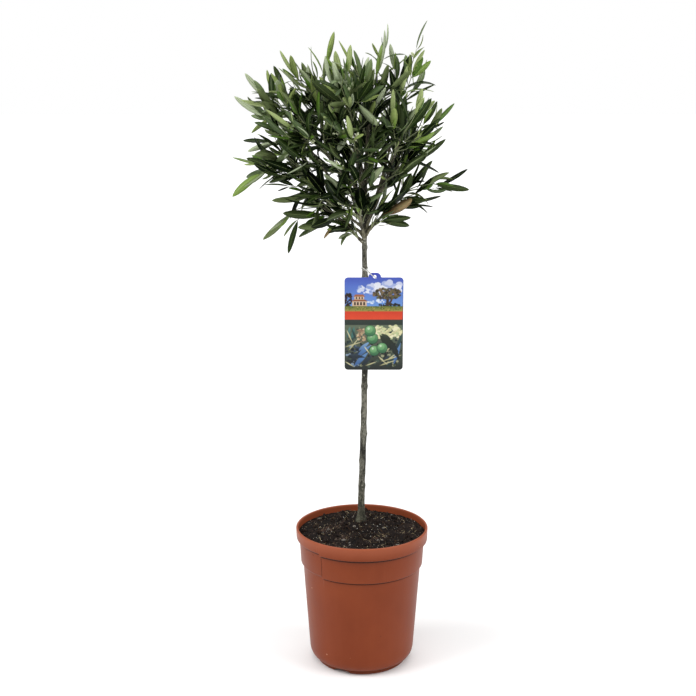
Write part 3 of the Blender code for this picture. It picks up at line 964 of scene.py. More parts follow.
def barkTree():
    # wraps bark round lines, thick as their limbRadius says, with relief that runs along them
    tree, given, made = newGroup("barkSkin", "GeometryNodeTree", [
        ("Geometry", "NodeSocketGeometry", None),
        ("Sides", "NodeSocketInt", 12),
        ("Relief", "NodeSocketFloat", 0.0003),
        ("Grain Size", "NodeSocketFloat", 0.003),
        ("Stretch", "NodeSocketFloat", 0.35),
        ("Seed", "NodeSocketFloat", 0.0),
        ("Finish", "NodeSocketMaterial", None),
    ], [("Geometry", "NodeSocketGeometry", None)])
    curve = addNode(tree, "GeometryNodeMeshToCurve", {0: given["Geometry"]})
    radius = addNode(tree, "GeometryNodeInputNamedAttribute", {"Name": "limbRadius"}, data_type="FLOAT").outputs[0]
    ring = addNode(tree, "GeometryNodeCurvePrimitiveCircle", {"Resolution": given["Sides"], "Radius": 1.0})
    skin = addNode(tree, "GeometryNodeCurveToMesh",
                   {"Curve": curve.outputs[0], "Profile Curve": ring.outputs[0], "Scale": radius, "Fill Caps": True})
    place = addNode(tree, "GeometryNodeInputPosition").outputs[0]
    scale = over(tree, 1.0, given["Grain Size"])
    slow = times(tree, scale, given["Stretch"])
    grid = addNode(tree, "ShaderNodeCombineXYZ", {"X": scale, "Y": scale, "Z": slow})
    spot = addNode(tree, "ShaderNodeVectorMath", {0: place, 1: grid.outputs[0]}, operation="MULTIPLY")
    shift = addNode(tree, "ShaderNodeVectorMath", {0: spot.outputs[0], 1: given["Seed"]}, operation="ADD")
    rough = addNode(tree, "ShaderNodeTexNoise", {"Vector": shift.outputs[0], "Scale": 1.0, "Detail": 3.0})
    depth = times(tree, minus(tree, rough.outputs[0], 0.5), given["Relief"])
    normal = addNode(tree, "GeometryNodeInputNormal").outputs[0]
    offset = addNode(tree, "ShaderNodeVectorMath", {0: normal, "Scale": depth}, operation="SCALE")
    moved = addNode(tree, "GeometryNodeSetPosition", {"Geometry": skin.outputs[0], "Offset": offset.outputs[0]})
    soft = addNode(tree, "GeometryNodeSetShadeSmooth", {"Geometry": moved.outputs[0]})
    real = addNode(tree, "GeometryNodeRealizeInstances", {"Geometry": soft.outputs[0]})
    painted = addNode(tree, "GeometryNodeSetMaterial",
                      {"Geometry": real.outputs[0], "Material": given["Finish"]})
    tree.links.new(painted.outputs[0], made.inputs[0])
    return tree


def lineMesh(name, lines):
    mesh = bpy.data.meshes.new(name)
    points, edges, radii = [], [], []
    for line in lines:
        first = len(points)
        points += [p for p, _ in line]
        radii += [r for _, r in line]
        edges += [(i, i + 1) for i in range(first, len(points) - 1)]
    mesh.from_pydata(points, edges, [])
    layer = mesh.attributes.new("limbRadius", "FLOAT", "POINT")
    layer.data.foreach_set("value", radii)
    return mesh


barkSkin = barkTree()


def wrapBark(name, lines, finish, sides, relief, grain, stretch):
    source = addPiece(name + "Lines", lineMesh(name, lines))
    piece = runNodes(source, barkSkin, name, Sides=sides, Relief=relief, Grain_Size=grain, Stretch=stretch,
                     Seed=float(barkShape["seed"]), Finish=finish)
    for layer in [a for a in piece.data.attributes if a.name == "limbRadius"]:
        piece.data.attributes.remove(layer)
    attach(piece, "root")
    return piece


def barkFinish(name, dark, mid, light, mossHeight=0.0):
    material = newFinish(name, shade(*mid), 0.78, Specular_IOR_Level=0.3)
    tree, shader = shaderOf(material)
    place = objectVector(tree, (1.0, 1.0, 0.3))
    tone = addMottle(tree, place, 0.012, 0.0012, 1.1, 2.2)
    colour = rampNode(tree, tone.outputs["Amount"], [(0.15, dark), (0.5, mid), (0.85, light)])
    pores = addGroup(tree, specksGroup, objectVector(tree, (0.6, 0.6, 1.2)), Spacing=0.0046, Size=0.24, Share=0.5)
    colour = mixShade(tree, times(tree, pores.outputs["Mask"], 0.8), colour, shade(176, 174, 160))
    if mossHeight:
        height = addNode(tree, "ShaderNodeSeparateXYZ", {"Vector": objectVector(tree)}).outputs["Z"]
        low = minus(tree, 1.0, over(tree, minus(tree, height, 0.19),
                                                     mossHeight), clamp=True)
        moss = times(tree, times(tree, low, tone.outputs["Amount"]), 0.7, clamp=True)
        colour = mixShade(tree, moss, colour, shade(98, 98, 74))
    tree.links.new(colour, shader.inputs["Base Color"])
    height = plus(tree, tone.outputs["Grain"], times(tree, pores.outputs["Mask"], 0.6))
    addBump(tree, shader, height, 0.8, 0.0007)
    return material


def knottedTrunk():
    # the trunk's line down into the soil, with a swelling at each old leaf joint
    line = limbs["trunk"]
    foot, thick = line[0]
    line = curved([(foot - up * 0.006, thick * 1.05), *line], barkShape["trunkStep"])
    low, high = line[0][0].z, line[-1][0].z
    out = []
    for point, radius in line:
        share = (point.z - low) / (high - low)
        sway = Vector((noise.noise(Vector((point.z * 26, 0, 0))), noise.noise(Vector((0, point.z * 26, 3))), 0.0))
        point = point + sway * barkShape["trunkSway"]
        radius *= 1.0 + 0.05 * noise.noise(Vector((0, 0, point.z * 70)))
        for place, bearing, size in barkShape["knots"]:
            near = math.exp(-(((share - place) * (high - low) / barkShape["knotHeight"]) ** 2))
            radius += barkShape["knotSwell"] * size * near
            point = point + Vector((math.cos(math.radians(bearing)), math.sin(math.radians(bearing)), 0)) * (
                barkShape["knotBend"] * size * near)
        out.append((point, radius))
    return out


def knottedBough(line, seed):
    line = curved(line, barkShape["boughStep"])
    gap, swell = barkShape["jointGap"], barkShape["jointSwell"]
    out, walked = [], 0.0
    for i, (point, radius) in enumerate(line):
        if i:
            walked += (point - line[i - 1][0]).length
        phase = (walked / gap) % 1.0
        ring = math.exp(-((min(phase, 1 - phase) * gap / barkShape["jointWidth"]) ** 2))
        out.append((point + wander(point * 55 + Vector((seed, 0, 0))) * barkShape["boughSway"],
                    radius * (1 + swell * ring)))
    return out


trunkBark = barkFinish("trunkBark", (30, 29, 24), (74, 73, 63), (124, 122, 110), mossHeight=0.07)
boughBark = barkFinish("boughBark", (42, 40, 31), (78, 75, 59), (118, 114, 93))
twigBark = newFinish("twigBark", shade(132, 140, 102), 0.6, Specular_IOR_Level=0.35)

trunkPiece = wrapBark("trunkBark", [knottedTrunk()], trunkBark, barkShape["trunkSides"],
                      barkShape["trunkRelief"], *barkShape["trunkGrain"])
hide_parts("trunk")
for i, name in enumerate(boughNames):
    line = knottedBough(rooted(name), i)
    piece = wrapBark("bark_" + name, [line], boughBark, barkShape["boughSides"], barkShape["boughRelief"],
                     *barkShape["boughGrain"])
    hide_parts("bough_" + name)
print("bark wrapped round", len(boughNames) + 1, "limbs")


# foliage: shoots grow from each bough's end towards places in its mass, with leaves in opposite pairs

growth = {
    "seed": 21,
    "shoots": 9,
    "fullReach": 0.046,
    "shootReach": 0.085,
    "shootStep": 0.004,
    "nodeGap": 0.0135,
    "firstNode": 0.014,
    "leafLength": (0.040, 0.062),
    "tipLeafLength": (0.036, 0.052),
    "leafWidth": (0.155, 0.250),
    "spread": (56.0, 30.0),
    "straying": 16.0,
    "roll": 0.45,
    "flipped": 0.20,
    "missing": 0.11,
    "missingOut": 0.14,
    "sideShoot": 0.10,
    "innerShoots": (0.52, 0.82),
    "innerReach": (0.030, 0.055),
    "bareBelow": 0.85,
    "bareFork": 0.062,
    "lift": 0.22,
    "hang": 0.62,
    "overshoot": 0.005,
    "deadNear": 0.06,
    "deadShare": 0.06,
    "crownReach": 0.135,
    "heartDrop": 0.02,
    "deepSize": (0.098, 0.098, 0.105),
    "spikeReach": 1.24,
    "spikeGap": 0.018,
    "topLight": 0.38,
    "toneScatter": 0.13,
    "strayShare": 0.55,
    "turnIn": 0.16,
    "shorten": 0.93,
    "thickShoot": 0.0013,
    "thickInner": 0.0009,
    "thinEnd": 0.00042,
    "shootSway": 0.0016,
    "flutter": 0.07,
    "budShare": 0.10,
    "budStalk": (0.009, 0.016),
    "budSize": (0.0020, 0.0029),
    # painted shade and light: tone steps by the light value, deep and dark inside the crown, paler outside and on
    # top
    "shadeSteps": ((0.55, ("deep", "deep", "dark")), (0.76, ("deep", "dark", "dark")), (0.94, ("dark", "olive")),
                  (1.10, ("olive", "olive", "grey", "fresh")), (1.30, ("olive", "grey", "pale", "fresh", "young"))),
}

leafTones = {
    # name: (upper side, underside, gloss of the upper side)
    # deep and dark are near-black tones that stand in for the shade inside the crown
    "deep": ((5, 14, 2), (24, 36, 13), 0.04),
    "dark": ((17, 31, 8), (56, 70, 36), 0.07),
    "olive": ((40, 58, 20), (106, 120, 76), 0.14),
    "grey": ((70, 90, 50), (150, 163, 126), 0.28),
    "pale": ((106, 126, 78), (184, 196, 162), 0.42),
    "fresh": ((80, 114, 32), (142, 160, 92), 0.20),
    "young": ((122, 150, 66), (160, 176, 116), 0.30),
    "dead": ((118, 92, 56), (142, 120, 84), 0.10),
    "bud": ((206, 212, 176), (182, 194, 138), 0.20),
}
toneNames = list(leafTones)

bladeShape = {
    # how far along the blade, and how wide it is there
    "rows": ((0.0, 0.10), (0.06, 0.10), (0.14, 0.44), (0.28, 0.82), (0.46, 1.0), (0.66, 0.97), (0.83, 0.72),
             (0.94, 0.38), (1.0, 0.0)),
    "ribShare": 0.045,
    "thickness": 0.010,
    # how the kinds of blade bend down, fold, twist and lean aside, in degrees
    "kinds": ((20, 12, 6, 3), (44, 18, -14, -5), (-12, 10, 10, 3), (64, 22, 26, 7), (6, 26, -8, -7),
              (32, 8, 40, 5), (-26, 16, -24, 6), (52, 14, -36, -4)),
}


def bladeMesh(kind, bend, fold, twist, lean):
    # one leaf, a unit long and about a unit wide across: along X, with its upper side up
    shape = bmesh.new()
    surface = shape.faces.layers.int.new("bladeSide")
    rows = bladeShape["rows"]
    rib = bladeShape["ribShare"]
    place, last = Vector((0.0, 0.0, 0.0)), 0.0
    grid = []
    for u, wide in rows:
        step = u - last
        angle = math.radians(bend) * (u - 0.15 if u > 0.15 else 0.0)
        aside = math.radians(lean) * u * 2
        heading = Vector((math.cos(angle) * math.cos(aside), math.sin(aside), -math.sin(angle)))
        place = place + heading * step
        last = u
        across = Vector((-math.sin(aside), math.cos(aside), 0.0))
        normal = heading.cross(across)
        roll = Matrix.Rotation(math.radians(twist) * u, 3, heading)
        tilt = math.radians(fold) * (1 - 0.5 * u)

        def spot(v, under):
            # edges fold up from the rib and roll a little under
            half = wide * 0.5
            out = across * v * half * math.cos(tilt) + normal * abs(v) * half * math.sin(tilt)
            out = roll @ (out * 0.2 - normal * (bladeShape["thickness"] if under else 0.0) * (1 - abs(v)))
            return place + out
        columns = (-1.0, -rib if wide > 0.2 else -0.9, rib if wide > 0.2 else 0.9, 1.0)
        if wide == 0.0:
            tip = shape.verts.new(place)
            grid.append(((tip,) * 4, (tip,) * 4))
            continue
        top = [shape.verts.new(spot(v, False)) for v in columns]
        low = [top[0], shape.verts.new(spot(columns[1], True)), shape.verts.new(spot(columns[2], True)), top[3]]
        grid.append((top, low))

    def face(corners, side):
        unique = list(dict.fromkeys(corners))
        if len(unique) > 2:
            made = shape.faces.new(unique)
            made[surface] = side
    for (topA, lowA), (topB, lowB) in zip(grid, grid[1:]):
        for i in range(3):
            face((topA[i], topB[i], topB[i + 1], topA[i + 1]), 2 if i == 1 else 0)
            face((lowA[i + 1], lowB[i + 1], lowB[i], lowA[i]), 2 if i == 1 else 1)
    top, low = grid[0]
    face((top[0], top[1], top[2], top[3], low[2], low[1]), 2)
    mesh = meshFrom(shape, f"blade{kind:02d}")
    mesh.shade_smooth()
    return mesh


def budMesh():
    # a round flower bud, a unit across, with its stalk end at the origin
    shape = bmesh.new()
    surface = shape.faces.layers.int.new("bladeSide")
    bmesh.ops.create_icosphere(shape, subdivisions=1, radius=0.5)
    for vert in shape.verts:
        vert.co = Vector((vert.co.x * (1.15 - 0.3 * abs(vert.co.y)) + 0.5, vert.co.y, vert.co.z))
    for face in shape.faces:
        face[surface] = 1 if face.calc_center_median().x < 0.3 else 0
    mesh = meshFrom(shape, "bladeBud", turnOut=False)
    mesh.shade_smooth()
    return mesh


def leafFinishes():
    sides = {}
    for name, (upper, under, gloss) in leafTones.items():
        sides[name] = (newFinish("leaf_" + name, shade(*upper), 0.36, Specular_IOR_Level=gloss),
                       newFinish("leafUnder_" + name, shade(*under), 0.62, Specular_IOR_Level=0.12))
    return sides, newFinish("leafRib", shade(104, 118, 70), 0.5, Specular_IOR_Level=0.15)


def leafTree(finishes, rib):
    # sets a leaf on each point, turned, sized and toned as the point says
    tree, given, made = newGroup("leafSprays", "GeometryNodeTree", [
        ("Geometry", "NodeSocketGeometry", None),
        ("Blades", "NodeSocketCollection", None),
        ("Size", "NodeSocketFloat", 1.0),
        ("Flutter", "NodeSocketFloat", 0.08),
        ("Seed", "NodeSocketInt", 0),
    ], [("Geometry", "NodeSocketGeometry", None)])

    def named(label, kind):
        return addNode(tree, "GeometryNodeInputNamedAttribute", {"Name": label}, data_type=kind).outputs[0]
    flutter = addNode(tree, "FunctionNodeRandomValue", {"Seed": given["Seed"]}, data_type="FLOAT_VECTOR")
    spread = given["Flutter"]
    most = addNode(tree, "ShaderNodeCombineXYZ", {"X": times(tree, spread, 3.0), "Y": spread, "Z": spread})
    least = addNode(tree, "ShaderNodeVectorMath", {0: most.outputs[0], 1: (-1.0, -1.0, -1.0)}, operation="MULTIPLY")
    tree.links.new(least.outputs[0], flutter.inputs[0])
    tree.links.new(most.outputs[0], flutter.inputs[1])
    aim = addNode(tree, "FunctionNodeEulerToRotation", {0: named("leafTurn", "FLOAT_VECTOR")})
    stir = addNode(tree, "FunctionNodeEulerToRotation", {0: flutter.outputs[0]})
    turn = addNode(tree, "FunctionNodeRotateRotation", {0: aim.outputs[0], 1: stir.outputs[0]},
                   rotation_space="LOCAL")
    scale = addNode(tree, "ShaderNodeVectorMath", {0: named("leafScale", "FLOAT_VECTOR"), "Scale": given["Size"]},
                    operation="SCALE")
    blades = addNode(tree, "GeometryNodeCollectionInfo",
                     {"Collection": given["Blades"], "Separate Children": True, "Reset Children": True})
    leaves = addNode(tree, "GeometryNodeInstanceOnPoints",
                     {"Points": given["Geometry"], "Instance": blades.outputs[0], "Pick Instance": True,
                      "Instance Index": named("leafKind", "INT"), "Rotation": turn.outputs[0],
                      "Scale": scale.outputs[0]})
    flow = addNode(tree, "GeometryNodeRealizeInstances", {"Geometry": leaves.outputs[0]}).outputs[0]

    def paint(flow, material, *tests):
        picked = None
        for label, value in tests:
            same = addNode(tree, "FunctionNodeCompare", {2: named(label, "INT"), 3: value},
                           data_type="INT", operation="EQUAL").outputs[0]
            if picked is not None:
                same = addNode(tree, "FunctionNodeBooleanMath", {0: picked, 1: same}).outputs[0]
            picked = same
        where = {"Selection": picked} if picked else {}
        return addNode(tree, "GeometryNodeSetMaterial", {"Geometry": flow, "Material": material, **where}).outputs[0]
    flow = paint(flow, rib)
    for number, name in enumerate(toneNames):
        for side in (0, 1):
            flow = paint(flow, finishes[name][side], ("leafTone", number), ("bladeSide", side))
    tree.links.new(flow, made.inputs[0])
    return tree


def turnOf(along, facing):
    # Euler turn that lays X along the leaf and Z along its upper side
    x = along.normalized()
    z = (facing - x * facing.dot(x)).normalized()
    return Matrix((x, z.cross(x), z)).transposed().to_euler()


class Mass:
    # a mass of foliage: its outline, its bough's end, and the places that its shoots grow to
    def __init__(self, name):
        self.name = name
        points, faces = trianglesOf("mass_" + name)
        self.points = weldedPoints("mass_" + name)
        self.shell = BVHTree.FromPolygons(points, faces)
        self.centre = sum(self.points, Vector()) / len(self.points)
        self.reach = sorted((p - self.centre).length for p in self.points)[len(self.points) // 2]
        self.low = Vector([min(p[i] for p in self.points) for i in range(3)])
        self.high = Vector([max(p[i] for p in self.points) for i in range(3)])

    def holds(self, place):
        if any(place[i] < self.low[i] or place[i] > self.high[i] for i in range(3)):
            return False
        crossings, start = 0, place.copy()
        aim = Vector((0.31, 0.17, 0.93)).normalized()
        while crossings < 20:
            hit = self.shell.ray_cast(start, aim)[0]
            if hit is None:
                break
            crossings += 1
            start = hit + aim * 0.00001
        return crossings % 2 == 1

    def targets(self, count, draw, heart):
        outward = (self.centre - heart).normalized()
        spikes = [p for p in self.points if (p - self.centre).length > growth["spikeReach"] * self.reach]
        chosen = []
        for p in sorted(spikes, key=lambda q: -(q - self.centre).length):
            if all((p - q).length > growth["spikeGap"] for q in chosen):
                chosen.append(p)
        rest = [p for p in self.points if (p - self.centre).dot(outward) > -0.35 * (p - self.centre).length]
        while len(chosen) < count:
            chosen.append(max(rest, key=lambda p: min([(p - q).length for q in chosen] or [draw.random()])))
        return chosen


masses = {name: Mass(name) for name in massNames}
crownLow = Vector([min(m.low[i] for m in masses.values()) for i in range(3)])
crownHigh = Vector([max(m.high[i] for m in masses.values()) for i in range(3)])
heart = (crownLow + crownHigh) / 2 - up * growth["heartDrop"]
trunkHead = limbs["trunk"][-1][0]


def inCrown(place):
    # inside a mass, or deep enough inside the crown
    deep = Vector([(place[i] - heart[i]) / growth["deepSize"][i] for i in range(3)])
    return deep.length < 1.0 or any(mass.holds(place) for mass in masses.values())


def sideOf(tangent, turn):
    # a direction square to the tangent, turned round it
    return Matrix.Rotation(turn, 3, tangent) @ tangent.orthogonal().normalized()


def bezier(a, b, c, d, t):
    s = 1 - t
    return a * s**3 + b * 3 * s * s * t + c * 3 * s * t * t + d * t**3


class Spray:
    # grows one mass's shoots and leaves from a fixed seed
    def __init__(self, mass, seed):
        self.mass = mass
        self.draw = random.Random(seed)
        self.budDraw = random.Random(seed + 500)
        self.twigs = []
        self.leaves = []
        # leaves of the low masses hang
        below = (heart.z - mass.centre.z) / growth["crownReach"]
        self.droop = growth["hang"] * min(1.0, max(0.0, below * 1.6))

    def between(self, pair):
        return self.draw.uniform(*pair)

    def addLeaf(self, base, along, facing, length, tone):
        along = along.normalized()
        share, strays = self.between(growth["leafWidth"]), self.draw.random()
        kind = self.draw.randrange(len(bladeShape["kinds"]))
        # a leaf that would leave the crown is turned in a little, then cut short
        past = growth["overshoot"]
        tip = base + along * (length - past)
        for _ in range(4):
            if inCrown(tip):
                break
            along = (along + (self.mass.centre - tip).normalized() * growth["turnIn"]).normalized()
            length *= growth["shorten"]
            tip = base + along * (length - past)
        else:
            if strays < growth["strayShare"]:
                return
        width = length * share / 0.2
        self.leaves.append((base, turnOf(along, facing), (length, width, length), kind, tone))

    def shadedToneFor(self, base, share, family):
        # partly painted shade and light: leaves are dark inside the crown and paler towards its outside and its top,
        # as if shaded within and lit from above; the young and fresh tones are the leaves' own colour
        if (base - trunkHead).length < growth["deadNear"] and self.draw.random() < growth["deadShare"]:
            return toneNames.index("dead")
        outward = ((base - heart).length + growth["topLight"] * (base.z - heart.z)) / growth["crownReach"]
        light = outward + 0.25 * share + self.draw.gauss(0.0, growth["toneScatter"])
        for limit, names in growth["shadeSteps"]:
            if light < limit:
                return toneNames.index(self.draw.choice((*names, family) if light > 0.6 else names))
        return toneNames.index(self.draw.choice(("pale", "young", "grey", "fresh")))

    def leafPair(self, base, tangent, phase, share, family, size=1.0):
        spread = growth["spread"]
        # few leaves stay near the fork and along the undersides
        forkBare = 0.8 * max(0.0, 1.0 - (base - trunkHead).length / growth["bareFork"])
        bare = growth["missing"] + growth["missingOut"] * share + 0.45 * self.droop + forkBare
        for half in (0, 1):
            if self.draw.random() < bare:
                continue
            turn = phase + math.pi * half + self.draw.gauss(0.0, 0.16)
            out = sideOf(tangent, turn)
            angle = math.radians(spread[0] + (spread[1] - spread[0]) * share
                                 + self.draw.gauss(0.0, growth["straying"]))
            along = tangent * math.cos(angle) + out * math.sin(angle)
            along += up * (self.draw.uniform(-0.12, growth["lift"]) - self.droop)
            roll = [self.draw.gauss(0.0, growth["roll"]) for _ in range(3)]
            facing = tangent * 0.75 + up * 0.45 - out * 0.25 + Vector(roll)
            if self.draw.random() < growth["flipped"]:
                facing.negate()
            length = self.between(growth["leafLength"]) * size * (1.0 - 0.42 * max(0.0, share - 0.62) / 0.38)
            self.addLeaf(base + out * 0.0005, along, facing, length, self.shadedToneFor(base, share, family))

    def budStalk(self, base, tangent, out):
        # a short stalk with a few pairs of flower buds and one at its end
        draw = self.budDraw
        length = draw.uniform(*growth["budStalk"])
        aim = (tangent * 0.8 + out + up * 0.3).normalized()
        line = [(base + aim * length * i / 5 + up * 0.0008 * math.sin(i), 0.00034 - 0.00003 * i) for i in range(6)]
        self.twigs.append(line)
        bud = len(bladeShape["kinds"])
        for i in range(1, 6):
            for side in ((0,) if i == 5 else (-1, 1)):
                way = (aim + out.cross(aim) * side * 1.2).normalized()
                way = (way + Vector([draw.gauss(0.0, 0.25) for _ in range(3)])).normalized()
                size = draw.uniform(*growth["budSize"])
                spot = line[i][0] + way * (0.0012 if side else 0.0)
                if inCrown(spot):
                    self.leaves.append((spot, turnOf(way, up + out * 0.01), (size, size, size), bud,
                                        toneNames.index("bud")))

    def shoot(self, start, heading, target, thick, family, depth=0):
        reach = (target - start).length
        aim = (target - start).normalized()
        tipLength = min(self.between(growth["tipLeafLength"]) * (1 + 0.7 * self.droop), 0.75 * reach)
        lift = growth["lift"] if target.z > heart.z - 0.05 else -0.25
        ending = (aim + up * lift * 0.6).normalized()
        end = target - ending * tipLength * 0.92
        span = (end - start).length
        if span < 0.006:
            return
        controls = (start, start + (heading * 0.7 + aim * 0.5).normalized() * span * 0.36,
                    end - ending * span * 0.3, end)
        count = max(3, round(span / growth["shootStep"]))
        line = []
        for i in range(count + 1):
            t = i / count
            point = bezier(*controls, t)
            point += wander(point * 42 + Vector((depth * 5, 0, 0))) * growth["shootSway"] * min(1.0, 3 * t)
            line.append((point, thick * (1 - t) + growth["thinEnd"] * t))
        self.twigs.append(line)
        gap = growth["nodeGap"] * self.draw.uniform(0.85, 1.2)
        walked, nextNode = 0.0, growth["firstNode"] * self.draw.uniform(0.8, 1.6)
        phase = self.draw.uniform(0.0, math.pi)
        nodes = []
        for (a, _), (b, radius) in zip(line, line[1:]):
            length = (b - a).length
            while walked + length >= nextNode:
                t = (nextNode - walked) / length
                nodes.append((a.lerp(b, t), (b - a).normalized(), nextNode / span, radius))
                nextNode += gap
            walked += length
        for point, tangent, share, radius in nodes:
            share = min(1.0, share)
            phase += math.pi / 2
            if depth < 1 and 0.12 < share < 0.75 and self.draw.random() < growth["sideShoot"]:
                side = sideOf(tangent, phase)
                goal = point + (tangent * 0.8 + side + up * 0.2).normalized() * self.draw.uniform(0.055, 0.08)
                if inCrown(goal):
                    self.shoot(point, (tangent + side).normalized(), goal, radius * 0.75, family, depth + 1)
            self.leafPair(point, tangent, phase, share, family, 1.0 if depth == 0 else 0.86)
            if share > 0.45 and self.budDraw.random() < growth["budShare"]:
                self.budStalk(point, tangent, sideOf(tangent, phase))
        # the last pair: one leaf takes the shoot's own way out to its target
        tangent = (line[-1][0] - line[-2][0]).normalized()
        side = sideOf(tangent, phase + math.pi / 2)
        tone = self.shadedToneFor(end, 1.0, family)
        self.leafTip(end, target, side, tangent, tipLength, tone)

    def leafTip(self, end, target, side, tangent, length, tone):
        aim = (target - end).normalized()
        width = length * self.between(growth["leafWidth"]) / 0.2
        facing = side + up * 0.4
        self.leaves.append((end, turnOf(aim, facing), (length, width, length), self.draw.choice((0, 2, 4)), tone))
        other = (tangent * 0.9 - side * 0.5).normalized()
        self.addLeaf(end, other, -side + up * 0.3, length * self.draw.uniform(0.5, 0.8),
                     toneNames.index(self.draw.choice(("young", "fresh", toneNames[tone]))))

    def grow(self):
        bough = limbs[self.mass.name]
        (before, _), (tip, thick) = bough[-2], bough[-1]
        heading = (tip - before).normalized()
        shoots = max(5, round(growth["shoots"] * min(1.0, self.mass.reach / growth["fullReach"])))
        targets = self.mass.targets(shoots, self.draw, heart)
        anchors = [(tip, heading, thick)]
        line = curved(bough, 0.006)
        for (a, ra), (b, _) in list(zip(line, line[1:]))[len(line) // 4:]:
            anchors.append((a, (b - a).normalized(), ra))
        for number, target in enumerate(targets):
            family = self.draw.choice(("dark", "dark", "olive", "olive", "grey", "pale"))
            if number == 0:
                start, along, radius = anchors[0]
            else:
                def cost(anchor):
                    way = target - anchor[0]
                    return abs(way.length - growth["shootReach"]) + 0.06 * (1 - way.normalized().dot(anchor[1]))
                start, along, radius = min(anchors, key=cost)
            self.shoot(start, along, target, min(radius * 0.85, growth["thickShoot"]), family)
            middle = self.twigs[-1] if self.twigs else []
            if len(middle) > 4:
                spot = len(middle) // 3
                anchors.append((middle[spot][0], (middle[spot + 1][0] - middle[spot][0]).normalized(),
                                middle[spot][1]))
        # short leafy shoots along the bough itself, that close the crown's inside
        phase = self.draw.uniform(0.0, 6.283)
        for share in growth["innerShoots"]:
            if self.droop > 0.1 and self.draw.random() < growth["bareBelow"]:
                continue
            at = min(len(line) - 2, int(share * len(line)))
            point, radius = line[at]
            along = (line[at + 1][0] - point).normalized()
            phase += 2.4
            side = sideOf(along, phase)
            goal = point + (along * 0.7 + side).normalized() * self.between(growth["innerReach"])
            # painted shade: these inner shoots take the dark tone families, as shade inside the crown
            self.shoot(point, (along + side * 1.4).normalized(), goal, min(radius * 0.6, growth["thickInner"]),
                       self.draw.choice(("deep", "dark", "olive")), 1)


def leafPoints(name, leaves):
    mesh = bpy.data.meshes.new(name)
    mesh.from_pydata([leaf[0] for leaf in leaves], [], [])
    for label, column in (("leafTurn", 1), ("leafScale", 2)):
        layer = mesh.attributes.new(label, "FLOAT_VECTOR", "POINT")
        layer.data.foreach_set("vector", [x for leaf in leaves for x in leaf[column]])
    for label, column in (("leafKind", 3), ("leafTone", 4)):
        layer = mesh.attributes.new(label, "INT", "POINT")
        layer.data.foreach_set("value", [leaf[column] for leaf in leaves])
    return mesh


def buildFoliage():
    finishes, rib = leafFinishes()
    sprays = leafTree(finishes, rib)
    meshes = [bladeMesh(i, *kind) for i, kind in enumerate(bladeShape["kinds"])]
    blades = shapeCollection("blade", [*meshes, budMesh()])
    total = 0
    for number, (name, mass) in enumerate(masses.items()):
        spray = Spray(mass, growth["seed"] + number)
        spray.grow()
        total += len(spray.leaves)
        source = addPiece("leafPoints_" + name, leafPoints(name, spray.leaves))
        piece = runNodes(source, sprays, "leaves_" + name, Blades=blades, Size=1.0,
                         Flutter=growth["flutter"], Seed=number)
        for label in [a.name for a in piece.data.attributes if a.name.startswith(("leaf", "blade"))]:
            piece.data.attributes.remove(piece.data.attributes[label])
        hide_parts("mass_" + name)
        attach(piece, "root")
        wrapBark("twigs_" + name, spray.twigs, twigBark, barkShape["twigSides"], barkShape["twigRelief"],
                 *barkShape["twigGrain"])
    dropCollection(blades)
    print("foliage grown:", total, "leaves in", len(masses), "masses")


buildFoliage()


# label: a laminated card with a printed picture, hung by an elastic through its lug

labelShape = {
    "width": 83.0,
    "height": 133.0,
    "lugHeight": 6.5,
    "corner": 5.0,
    "lug": (33.6, 51.4, 6.2),
    "hole": (42.5, 134.0, 2.4),
    "holeTrim": 0.985,
    "printStep": 0.62,
    "backStep": 1.6,
    "soften": 0.35,
    "seed": 12,
    "elasticRadius": 0.0006,
}


def cardOutline():
    # anticlockwise, in millimetres from the lower left corner, with the lug on top
    w, h, c = labelShape["width"], labelShape["height"], labelShape["corner"]
    left, right, rise = labelShape["lug"]
    top = h + labelShape["lugHeight"]
    points = arcPoints((w - c, c), c, -90, 0, 8) + arcPoints((w - c, h - c), c, 0, 90, 8)
    points += [(right + 1.0, h)] + arcPoints((right - rise, top - rise), rise, 0, 90, 8)
    points += arcPoints((left + rise, top - rise), rise, 90, 180, 8) + [(left - 1.0, h)]
    return points + arcPoints((c, h - c), c, 90, 180, 8) + arcPoints((c, c), c, 180, 270, 8)


